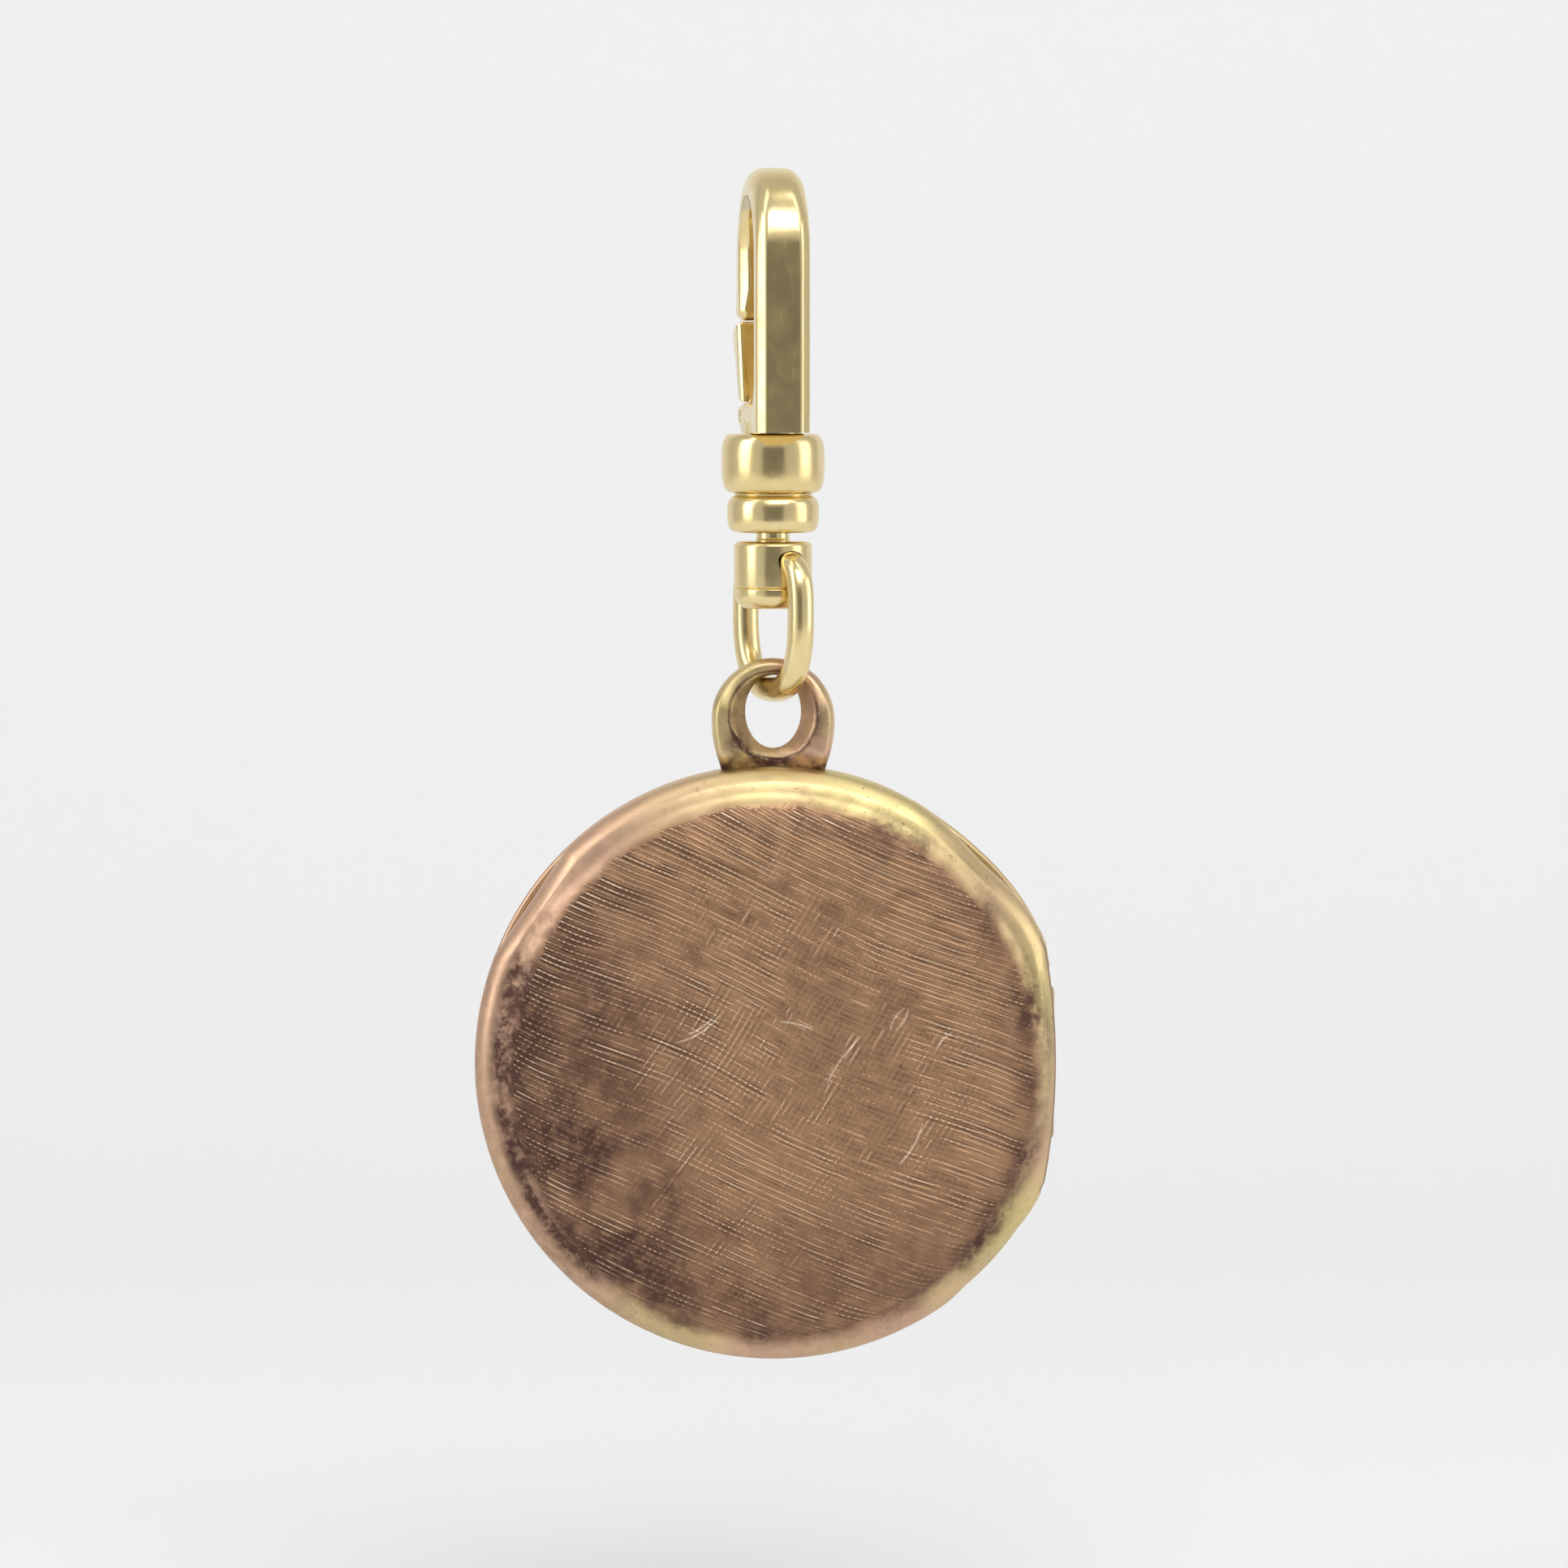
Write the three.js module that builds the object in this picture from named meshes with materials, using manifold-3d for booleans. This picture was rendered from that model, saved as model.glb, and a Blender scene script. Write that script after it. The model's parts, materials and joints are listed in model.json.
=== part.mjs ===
// A round gold-filled photo locket hanging from a sprung swivel clasp.
// Units are millimetres, +Z is up. The origin is the inside top of the clasp's hook,
// the point that a chain bears on, and everything hangs below it on the Z axis.
// The locket's decorated back cover faces -Y, its lid faces +Y and its hinge is on +X.

import * as THREE from "three";
import { mergeVertices } from "three/addons/utils/BufferGeometryUtils.js";
import Module from "manifold-3d";

const wasm = await Module();
wasm.setup();

// ---------------------------------------------------------------- driving dimensions

const RUNNING_GAP = 0.03; // clearance between pieces that turn in each other
const SEAT_GAP = 0.03; // gap between pieces that are soldered, pressed or laid together

// hook of the clasp: a J bent from bar, seen edge-on from the front
const HOOK_YAW = THREE.MathUtils.degToRad(8);
const HOOK_INNER = 2.35; // inner half-width, and radius of the bend
const HOOK_BAR = 1.75; // bar thickness in the hook's plane
const HOOK_DEPTH = 2.7; // bar width across the hook's plane
const HOOK_CHAMFER = 0.45;
const NOSE_END_Z = -5.78;
const BASE_TOP_Z = -9.9;
const COLLAR_TOP_Z = -11.42;
const BASE_HALF_WIDTH = 2.3;

// gate, its pin and its spring
const GATE_PIN = { s: 2.35, z: -10.55, radius: 0.3 };
const GATE_TOP_Z = -6.02;
const GATE_DEPTH = 2.6;
const GATE_FOOT_RADIUS = 0.68;
const GATE_SLOT = { depth: 1.9, start: 1.3 };
const GATE_FOOT = { near: -0.9, far: 0.15 };
const SPRING = {
  wire: 0.2, radius: 0.46, turns: 2, start: 0.33, pitch: 0.23, upTail: 0.45, downTail: 0.5,
};

// collars and swivel, all turned about the Z axis
const UPPER_COLLAR = { radius: 2.585, bottom: -14.37 };
const LOWER_COLLAR = { radius: 2.3, top: -14.5, bottom: -16.36, spigot: 1.95 };
const STEM = { radius: 1.5, bottom: -14.9 };
const SWIVEL_NECK = 0.81;
const SWIVEL_HEAD = { radius: 1.35, bottom: -15.58, top: -15.1 };
const WASHER = { radius: 1.4, bottom: -15.96, top: -15.61 };
const EYE = { radius: 1.95, top: -16.8, bottom: -20.15, groove: -19.12 };

// jump ring, a rounded oval in a plane turned away from the front
const RING_YAW = THREE.MathUtils.degToRad(-61);
const RING = {
  wire: 1.3,
  topZ: -17.7,
  bottomZ: -24.2,
  halfWidth: 2.85,
  topSquareness: 4.6,
  bottomSquareness: 2.65,
};
const EYE_HOLE = 0.72;
const EYE_MOUTH = 0.95;

// bail, the thick ring on the locket's rim
const BAIL = { radius: 3.09, centreZ: -25.72, holeZ: -25.3, holeWidth: 1.36, holeHeight: 1.9 };
const BAIL_DEPTH = { foot: 1.2, top: 0.62, topZ: -22.6, footZ: -28.4 };

// locket
const LOCKET_Z = -42.98;
const LOCKET_RADIUS = 15;
const HALF_THICKNESS = 2.8;
const SHEET = 0.45;
const PARTING_GAP = 0.02; // half the gap between the two halves when shut
const HINGE_WALL_X = 13.45; // the lid's edge is cut back to here along the hinge
const LID_WALL_HALF_LENGTH = 4.8;
const COVER_FLAT_X = 14.2; // both covers' edges are flat here, beside the hinge
const COVER_RELIEF = { depth: 0.92, halfLength: 6.8 }; // where the open lid passes the back case
const NAIL_NOTCH = { angle: THREE.MathUtils.degToRad(146), distance: 14.62 };
const SNAP_RIM = { outer: 14.15, inner: 13.75, low: 0.75, high: 0.55, end: 12.4 };
const FRAME_RING = { outer: 13.3, inner: 11.3, face: 0.15, back: 0.55 };
const INSERT_RADIUS = 12.4; // windows and photo cards
const WINDOW = { face: 0.6, back: 0.78 };
const CARD = { face: 0.82, back: 1.12 };

// hinge on the locket's right-hand side
const HINGE = { x: 13.52, radius: 0.62, pin: 0.27, halfLength: 3.9, knuckles: 5 };

const ROUND_SMALL = 24;
const ROUND_LARGE = 60;

// ---------------------------------------------------------------- helpers

const colours = {
  paleGold: 0xe0cc92,
  roseGold: 0xb08764,
  innerGold: 0xc7a468,
  steel: 0xb9b9b4,
  celluloid: 0xe9ecec,
  card: 0xd9cdb4,
};

function bare(geometry) {
  const copy = geometry.clone();
  for (const name of Object.keys(copy.attributes)) {
    if (name !== "position") copy.deleteAttribute(name);
  }
  const merged = mergeVertices(copy, 1e-4);
  const corners = merged.index.array;
  const kept = [];
  for (let start = 0; start < corners.length; start += 3) {
    const [a, b, c] = corners.slice(start, start + 3);
    if (a !== b && b !== c && c !== a) kept.push(a, b, c);
  }
  merged.setIndex(kept);
  return merged;
}

function solid(geometry) {
  const merged = bare(geometry);
  return new wasm.Manifold(new wasm.Mesh({
    numProp: 3,
    vertProperties: new Float32Array(merged.attributes.position.array),
    triVerts: new Uint32Array(merged.index.array),
  }));
}

function surface(manifold) {
  const mesh = manifold.getMesh();
  const geometry = new THREE.BufferGeometry();
  geometry.setAttribute("position", new THREE.BufferAttribute(mesh.vertProperties, 3));
  geometry.setIndex(new THREE.BufferAttribute(mesh.triVerts, 1));
  return geometry;
}

function cut(geometry, ...tools) {
  return surface(tools.reduce((body, tool) => body.subtract(solid(tool)), solid(geometry)));
}

function join(geometry, ...others) {
  return surface(others.reduce((body, other) => body.add(solid(other)), solid(geometry)));
}

function common(geometry, other) {
  return surface(solid(geometry).intersect(solid(other)));
}

function addMesh(group, name, geometry, color, metalness = 1, roughness = 0.3) {
  const material = new THREE.MeshStandardMaterial({ color, metalness, roughness });
  const mesh = new THREE.Mesh(bare(geometry), material);
  mesh.name = name;
  group.add(mesh);
}

// Solid of revolution about Z from [radius, z] points, walked upwards on the outside.
function turned(points, segments = ROUND_SMALL) {
  const profile = points.map(([radius, z]) => new THREE.Vector2(radius, z));
  const geometry = new THREE.LatheGeometry(profile, segments);
  geometry.rotateX(Math.PI / 2);
  return geometry;
}

function sleeve(outer, inner, bottom, top, segments = ROUND_SMALL) {
  const profile = [[inner, bottom], [outer, bottom], [outer, top], [inner, top], [inner, bottom]];
  return turned(profile, segments);
}

function rod(radius, bottom, top, segments = ROUND_SMALL) {
  return turned([[0, bottom], [radius, bottom], [radius, top], [0, top]], segments);
}

function block(low, high) {
  const size = high.map((value, axis) => value - low[axis]);
  const geometry = new THREE.BoxGeometry(...size);
  geometry.translate(...low.map((value, axis) => value + size[axis] / 2));
  return geometry;
}

// Outline in the hook's plane, extruded across it from w = near to w = far.
// The outline's x is s, the distance from the Z axis towards the gate, and its y is z.
function plate(outline, near, far, chamfer = 0) {
  const geometry = new THREE.ExtrudeGeometry(outline, {
    depth: far - near - 2 * chamfer,
    bevelEnabled: chamfer > 0,
    bevelSize: chamfer,
    bevelOffset: -chamfer,
    bevelThickness: chamfer,
    bevelSegments: 2,
    curveSegments: 12,
  });
  geometry.translate(0, 0, near + chamfer);
  const across = new THREE.Vector3(1, 0, 0);
  const towardsGate = new THREE.Vector3(0, 1, 0);
  const up = new THREE.Vector3(0, 0, 1);
  geometry.applyMatrix4(new THREE.Matrix4().makeBasis(towardsGate, up, across));
  return geometry;
}

// Cylinder across the hook's plane at (s, z), from w = near to w = far.
function crossRod(radius, s, z, near, far) {
  const geometry = rod(radius, near, far);
  geometry.rotateY(Math.PI / 2);
  geometry.translate(0, s, z);
  return geometry;
}

// Closed or open tube of round section along a curve.
function tube(curve, radius, steps, sides) {
  const section = new THREE.Shape();
  for (let side = 0; side < sides; side += 1) {
    const angle = (2 * Math.PI * side) / sides;
    const point = [radius * Math.cos(angle), radius * Math.sin(angle)];
    if (side === 0) section.moveTo(...point);
    else section.lineTo(...point);
  }
  section.closePath();
  return new THREE.ExtrudeGeometry(section, { steps, bevelEnabled: false, extrudePath: curve });
}

// ---------------------------------------------------------------- clasp

const hookOuter = HOOK_INNER + HOOK_BAR;
const bendZ = -HOOK_INNER; // centre of the bend, so that the inside top is at z = 0

function hookOutline() {
  const shape = new THREE.Shape();
  shape.moveTo(-BASE_HALF_WIDTH, COLLAR_TOP_Z + SEAT_GAP);
  shape.bezierCurveTo(-hookOuter + 0.7, -11.2, -hookOuter, -10.8, -hookOuter, -9.6);
  shape.absarc(0, bendZ, hookOuter, Math.PI, 0, true);
  shape.lineTo(hookOuter, NOSE_END_Z + 0.5);
  shape.lineTo(hookOuter - 0.5, NOSE_END_Z);
  shape.lineTo(HOOK_INNER, NOSE_END_Z);
  shape.absarc(0, bendZ, HOOK_INNER, 0, Math.PI, false);
  shape.lineTo(-HOOK_INNER, -8.5);
  shape.quadraticCurveTo(-HOOK_INNER, BASE_TOP_Z, -1, BASE_TOP_Z);
  shape.lineTo(2.6, BASE_TOP_Z);
  shape.quadraticCurveTo(3.3, BASE_TOP_Z, 3.3, -10.6);
  shape.quadraticCurveTo(3.2, -11.2, BASE_HALF_WIDTH, COLLAR_TOP_Z + SEAT_GAP);
  shape.closePath();
  return shape;
}

function hookBody() {
  const half = HOOK_DEPTH / 2;
  const bent = plate(hookOutline(), -half, half, HOOK_CHAMFER);
  const stem = rod(STEM.radius, STEM.bottom, COLLAR_TOP_Z + 0.6);
  const slotHalf = GATE_SLOT.depth / 2;
  const slot = block([-slotHalf, GATE_SLOT.start, -12], [slotHalf, 4, -9]);
  const belowSlot = block([-2, -2, -15.5], [2, 2, COLLAR_TOP_Z + 0.2]);
  const foot = common(stem, belowSlot);
  const pinHole = crossRod(GATE_PIN.radius + 0.02, GATE_PIN.s, GATE_PIN.z, -2, 2);
  return join(cut(join(bent, stem), slot, pinHole), foot);
}

function gate() {
  const shape = new THREE.Shape();
  shape.moveTo(2.4, -9.75);
  shape.lineTo(3.55, -9.75);
  shape.lineTo(3.85, -7.3);
  shape.lineTo(4.3, -6.7);
  shape.lineTo(4.1, GATE_TOP_Z - 0.23);
  shape.lineTo(2.4, GATE_TOP_Z);
  shape.closePath();
  const blade = plate(shape, -GATE_DEPTH / 2, GATE_DEPTH / 2, 0.2);
  const { near, far } = GATE_FOOT;
  const { s, z, radius } = GATE_PIN;
  const shank = new THREE.Shape();
  shank.moveTo(s - 0.45, z);
  shank.lineTo(s + GATE_FOOT_RADIUS, z);
  shank.lineTo(3.3, -9.2);
  shank.lineTo(2.7, -9.2);
  shank.closePath();
  const foot = join(plate(shank, near, far), crossRod(GATE_FOOT_RADIUS, s, z, near, far));
  return cut(join(blade, foot), crossRod(radius + RUNNING_GAP, s, z, -2, 2));
}

// Torsion spring round the gate's pin: close coils between two short straight tails.
class SpringPath extends THREE.Curve {
  getPoint(t, target = new THREE.Vector3()) {
    const { radius, turns, start, pitch, upTail, downTail } = SPRING;
    const coilLength = 2 * Math.PI * radius * turns;
    const along = t * (upTail + coilLength + downTail) - upTail;
    const wound = THREE.MathUtils.clamp(along, 0, coilLength) / coilLength;
    const angle = 2 * Math.PI * turns * wound;
    const past = along < 0 ? along : Math.max(along - coilLength, 0);
    const w = start + pitch * turns * wound;
    const s = GATE_PIN.s - radius * Math.cos(angle);
    return target.set(w, s, GATE_PIN.z - radius * Math.sin(angle) - past);
  }
}

function gateSpring() {
  return tube(new SpringPath(), SPRING.wire / 2, 34, 6);
}

function gatePin() {
  const reach = HOOK_DEPTH / 2 - 0.02;
  return crossRod(GATE_PIN.radius, GATE_PIN.s, GATE_PIN.z, -reach, reach);
}

function swivelWasher() {
  return sleeve(WASHER.radius, SWIVEL_NECK + RUNNING_GAP, WASHER.bottom, WASHER.top);
}

function upperCollar() {
  const { radius, bottom } = UPPER_COLLAR;
  const bore = STEM.radius + SEAT_GAP;
  return turned([
    [bore, bottom], [radius - 0.3, bottom], [radius - 0.06, bottom + 0.28], [radius, bottom + 0.9],
    [radius, COLLAR_TOP_Z - 0.9], [radius - 0.08, COLLAR_TOP_Z - 0.3], [radius - 0.34, COLLAR_TOP_Z],
    [bore, COLLAR_TOP_Z], [bore, bottom],
  ], 32);
}

function lowerCollar() {
  const { radius, top, bottom, spigot } = LOWER_COLLAR;
  const bore = STEM.radius + SEAT_GAP;
  const floor = WASHER.bottom - 0.02;
  const hole = SWIVEL_NECK + RUNNING_GAP + 0.02;
  const meet = UPPER_COLLAR.bottom - SEAT_GAP;
  return turned([
    [hole, bottom], [radius - 0.35, bottom], [radius - 0.06, bottom + 0.35], [radius, bottom + 0.9],
    [radius - 0.05, top - 0.3], [radius - 0.25, top], [spigot, top], [spigot, meet], [bore, meet],
    [bore, floor], [hole, floor], [hole, bottom],
  ], 32);
}

function swivelPost() {
  const { radius, bottom, top } = SWIVEL_HEAD;
  return turned([
    [0, EYE.top + SEAT_GAP], [SWIVEL_NECK, EYE.top + SEAT_GAP], [SWIVEL_NECK, bottom],
    [radius, bottom], [radius, top - 0.15], [radius - 0.2, top], [0, top],
  ]);
}

function eyeDrum() {
  const { radius, top, bottom, groove } = EYE;
  const drum = turned([
    [0, bottom], [radius - 0.45, bottom], [radius - 0.1, bottom + 0.25], [radius, bottom + 0.55],
    [radius, groove - 0.05], [radius - 0.07, groove], [radius, groove + 0.05],
    [radius, top - 0.2], [radius - 0.12, top], [0, top],
  ], 32);
  const hole = rod(EYE_HOLE, -3, 3, 20);
  const reach = radius + 0.1;
  const waist = EYE_HOLE + 0.04;
  const flare = turned([
    [0, -reach], [EYE_MOUTH, -reach], [waist + 0.08, -1.15], [waist, -0.5], [waist, 0.5],
    [waist + 0.08, 1.15], [EYE_MOUTH, reach], [0, reach],
  ], 20);
  for (const tool of [hole, flare]) {
    tool.rotateX(-Math.PI / 2);
    tool.rotateZ(RING_YAW - Math.PI / 2);
    tool.translate(0, 0, RING.topZ);
  }
  const lowerHalf = block([-4, -4, -21], [4, 4, RING.topZ + 0.15]);
  return cut(drum, hole, common(flare, lowerHalf));
}

// ---------------------------------------------------------------- jump ring and bail

// Point of the ring's centreline: u along the ring's plane, z up.
function ringPoint(angle) {
  const halfHeight = (RING.topZ - RING.bottomZ) / 2;
  const power = 2 / (Math.sin(angle) > 0 ? RING.topSquareness : RING.bottomSquareness);
  const rounded = (value) => Math.sign(value) * Math.abs(value) ** power;
  const u = RING.halfWidth * rounded(Math.cos(angle));
  return new THREE.Vector2(u, (RING.topZ + RING.bottomZ) / 2 + halfHeight * rounded(Math.sin(angle)));
}

function jumpRing(steps = 44, sides = 10) {
  const positions = [];
  const indices = [];
  for (let step = 0; step < steps; step += 1) {
    const angle = (2 * Math.PI * (step + 0.5)) / steps;
    const centre = ringPoint(angle);
    const ahead = ringPoint(angle + 0.02).sub(ringPoint(angle - 0.02)).normalize();
    for (let side = 0; side < sides; side += 1) {
      const turn = (2 * Math.PI * side) / sides;
      const outward = (RING.wire / 2) * Math.cos(turn);
      const u = centre.x + ahead.y * outward;
      const across = (RING.wire / 2) * Math.sin(turn);
      positions.push(u, across, centre.y - ahead.x * outward);
      const next = ((step + 1) % steps) * sides;
      const here = step * sides;
      const beside = (side + 1) % sides;
      indices.push(here + side, here + beside, next + side);
      indices.push(here + beside, next + beside, next + side);
    }
  }
  const geometry = new THREE.BufferGeometry();
  geometry.setAttribute("position", new THREE.Float32BufferAttribute(positions, 3));
  geometry.setIndex(indices);
  geometry.rotateZ(RING_YAW);
  return geometry;
}

function bail() {
  const shape = new THREE.Shape();
  shape.absarc(0, BAIL.centreZ, BAIL.radius, 0, 2 * Math.PI, false);
  const hole = new THREE.Path();
  hole.absellipse(0, BAIL.holeZ, BAIL.holeWidth, BAIL.holeHeight, 0, 2 * Math.PI, true, 0);
  shape.holes.push(hole);
  const { foot, top, topZ, footZ } = BAIL_DEPTH;
  const chamfer = 0.2;
  const band = new THREE.ExtrudeGeometry(shape, {
    depth: 2 * foot - 2 * chamfer,
    bevelSize: chamfer,
    bevelOffset: -chamfer,
    bevelThickness: chamfer,
    bevelSegments: 1,
    curveSegments: 20,
  });
  band.translate(0, 0, chamfer - foot);
  band.rotateX(Math.PI / 2);
  const taper = new THREE.Shape();
  taper.moveTo(-foot, footZ - 2);
  taper.lineTo(foot, footZ - 2);
  taper.lineTo(foot, BAIL.centreZ);
  taper.lineTo(top, topZ);
  taper.lineTo(top, topZ + 1);
  taper.lineTo(-top, topZ + 1);
  taper.lineTo(-top, topZ);
  taper.lineTo(-foot, BAIL.centreZ);
  taper.closePath();
  const wireWay = rod(RING.wire / 2 + 0.1, -4, 4, 20);
  wireWay.rotateY(Math.PI / 2);
  wireWay.rotateZ(RING_YAW);
  wireWay.translate(0, 0, RING.bottomZ);
  const rimSeat = placed(turned(coverProfile(SEAT_GAP), ROUND_LARGE), BACK);
  const lidWay = placed(rod(LOCKET_RADIUS + 0.06, 0, 4, ROUND_LARGE), LID);
  return cut(common(band, plate(taper, -4, 4)), wireWay, rimSeat, lidWay);
}

// ---------------------------------------------------------------- locket

// Each half is turned about Y: depth 0 is the parting plane, and depth grows outwards.
const BACK = Math.PI / 2; // quarter turn that sends depth towards -Y
const LID = -Math.PI / 2; // and towards +Y

function placed(geometry, side) {
  geometry.rotateX(side);
  geometry.translate(0, 0, LOCKET_Z);
  return geometry;
}

// Outside of a half: flat field, rounded shoulder, shallow valley and a bead at the edge.
function coverProfile(grow = 0) {
  const top = HALF_THICKNESS + grow;
  return [
    [0, -grow], [LOCKET_RADIUS - 0.12 + grow, -grow], [LOCKET_RADIUS + grow, 0.25],
    [LOCKET_RADIUS - 0.03 + grow, 0.75], [LOCKET_RADIUS - 0.4 + grow, 1.3], [14.05 + grow, 1.62],
    [13.7 + grow, 1.82 + grow], [13.35 + grow, 2.2 + grow], [12.8, top - 0.25], [12.1, top - 0.05],
    [11.5, top], [0, top],
  ];
}

function hollowProfile() {
  const wall = LOCKET_RADIUS - SHEET;
  const top = HALF_THICKNESS - SHEET;
  return [
    [0, -1], [wall, -1], [wall, 0.75], [13.55, 1.25], [13.2, 1.6], [12.5, top - 0.1],
    [11.5, top], [0, top],
  ];
}

const hingeReach = HINGE.halfLength + 0.2;

// One half of the case. Both have a flat edge beside the hinge, and the lid is also cut back
// to the hinge's wall between -wallHalfLength and +wallHalfLength of the middle.
function half(side, wallHalfLength = 0) {
  const below = LOCKET_Z - 20;
  const above = LOCKET_Z + 20;
  const outside = placed(turned(coverProfile(-PARTING_GAP / 2), ROUND_LARGE), side);
  const partingCut = block([-20, -PARTING_GAP, below], [20, PARTING_GAP, above]);
  const beyondFlat = block([COVER_FLAT_X, -5, LOCKET_Z - 10], [20, 5, LOCKET_Z + 10]);
  const hollow = placed(turned(hollowProfile(), ROUND_LARGE), side);
  const insideWall = block([-20, -5, below], [HINGE_WALL_X - SHEET, 5, above]);
  const hingeSeat = rod(HINGE.radius + SEAT_GAP, LOCKET_Z - hingeReach, LOCKET_Z + hingeReach);
  hingeSeat.translate(HINGE.x, 0, 0);
  const tools = [partingCut, beyondFlat, common(hollow, insideWall), hingeSeat];
  if (wallHalfLength > 0) {
    const wallLow = [HINGE_WALL_X, -5, LOCKET_Z - wallHalfLength];
    tools.push(block(wallLow, [20, 5, LOCKET_Z + wallHalfLength]));
  }
  return cut(outside, ...tools);
}

function backCase() {
  const notch = block([NAIL_NOTCH.distance, -1.1, -5], [16, 1, 5]);
  notch.rotateY(-NAIL_NOTCH.angle);
  notch.translate(0, 0, LOCKET_Z);
  const { depth, halfLength } = COVER_RELIEF;
  const low = [HINGE_WALL_X, -depth, LOCKET_Z - halfLength];
  const lidPassage = block(low, [16, 1, LOCKET_Z + halfLength]);
  return cut(half(BACK), notch, lidPassage);
}

// Upright ring of strip soldered inside the back case's edge; the lid snaps over it.
function snapRim() {
  const { outer, inner, low, high, end } = SNAP_RIM;
  const ring = placed(sleeve(outer, inner, -high, low, ROUND_LARGE), BACK);
  const hingeSide = block([end, -3, LOCKET_Z - 20], [20, 3, LOCKET_Z + 20]);
  return cut(ring, hingeSide);
}

function disc({ face, back }, side) {
  return placed(rod(INSERT_RADIUS, face, back, 48), side);
}

function frameRing(side) {
  const { outer, inner, face, back } = FRAME_RING;
  const profile = [[inner, back - 0.12], [outer - 0.4, back], [outer, back], [outer, face + 0.2],
    [outer - 0.4, face], [inner + 0.5, face + 0.1], [inner, back - 0.12]];
  const ring = placed(turned([...profile].reverse(), 48), side);
  const hingeSide = block([HINGE.x - HINGE.radius - 0.1, -3, LOCKET_Z - 20], [20, 3, LOCKET_Z + 20]);
  return cut(ring, hingeSide);
}

function knuckle(index) {
  const pitch = (2 * HINGE.halfLength) / HINGE.knuckles;
  const bottom = LOCKET_Z - HINGE.halfLength + index * pitch + RUNNING_GAP / 2;
  const top = bottom + pitch - RUNNING_GAP;
  const bore = HINGE.pin + RUNNING_GAP;
  const radius = HINGE.radius;
  const lowEnd = index === 0 ? 0.25 : 0.04;
  const highEnd = index === HINGE.knuckles - 1 ? 0.25 : 0.04;
  const tube = turned([
    [bore, bottom], [radius - lowEnd, bottom], [radius, bottom + 1.6 * lowEnd],
    [radius, top - 1.6 * highEnd], [radius - highEnd, top], [bore, top], [bore, bottom],
  ]);
  tube.translate(HINGE.x, 0, 0);
  return tube;
}

function hingePin() {
  const reach = HINGE.halfLength + 0.1;
  const pin = rod(HINGE.pin, LOCKET_Z - reach, LOCKET_Z + reach);
  pin.translate(HINGE.x, 0, 0);
  return pin;
}

// ---------------------------------------------------------------- assembly

const clasp = new THREE.Group();
clasp.rotation.z = HOOK_YAW;
addMesh(clasp, "hook_body", hookBody(), colours.paleGold);
addMesh(clasp, "gate", gate(), colours.paleGold);
addMesh(clasp, "gate_pin", gatePin(), colours.paleGold);
addMesh(clasp, "gate_spring", gateSpring(), colours.steel);
addMesh(clasp, "upper_collar", upperCollar(), colours.paleGold);
addMesh(clasp, "lower_collar", lowerCollar(), colours.paleGold);
addMesh(clasp, "swivel_washer", swivelWasher(), colours.steel);

const hanging = new THREE.Group();
addMesh(hanging, "swivel_post", swivelPost(), colours.paleGold);
addMesh(hanging, "eye_drum", eyeDrum(), colours.paleGold);
addMesh(hanging, "jump_ring", jumpRing(), colours.paleGold);
addMesh(hanging, "bail", bail(), colours.roseGold);

const locket = new THREE.Group();
addMesh(locket, "back_case", backCase(), colours.roseGold, 1, 0.45);
addMesh(locket, "front_lid", half(LID, LID_WALL_HALF_LENGTH), colours.roseGold, 1, 0.45);
addMesh(locket, "snap_rim", snapRim(), colours.innerGold);
for (const [name, side] of [["back", BACK], ["lid", LID]]) {
  addMesh(locket, `${name}_frame`, frameRing(side), colours.innerGold);
  addMesh(locket, `${name}_window`, disc(WINDOW, side), colours.celluloid, 0, 0.1);
  addMesh(locket, `${name}_photo_card`, disc(CARD, side), colours.card, 0, 0.9);
}
for (let index = 0; index < HINGE.knuckles; index += 1) {
  const owner = index % 2 === 0 ? "back" : "lid";
  addMesh(locket, `${owner}_knuckle_${index + 1}`, knuckle(index), colours.roseGold);
}
addMesh(locket, "hinge_pin", hingePin(), colours.innerGold);

const root = new THREE.Group();
root.add(clasp, hanging, locket);

export default root;
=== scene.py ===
# A round photo locket on a swivel clasp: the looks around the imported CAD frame.
# Shapes are worked out in millimetres from the frame's boxes and stored in metres.
import json
import math
from contextlib import contextmanager
from math import atan2, copysign, cos, hypot, pi, radians, sin, sqrt

import bmesh
import bpy
import numpy as np
from mathutils import Matrix, Vector, noise

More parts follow.
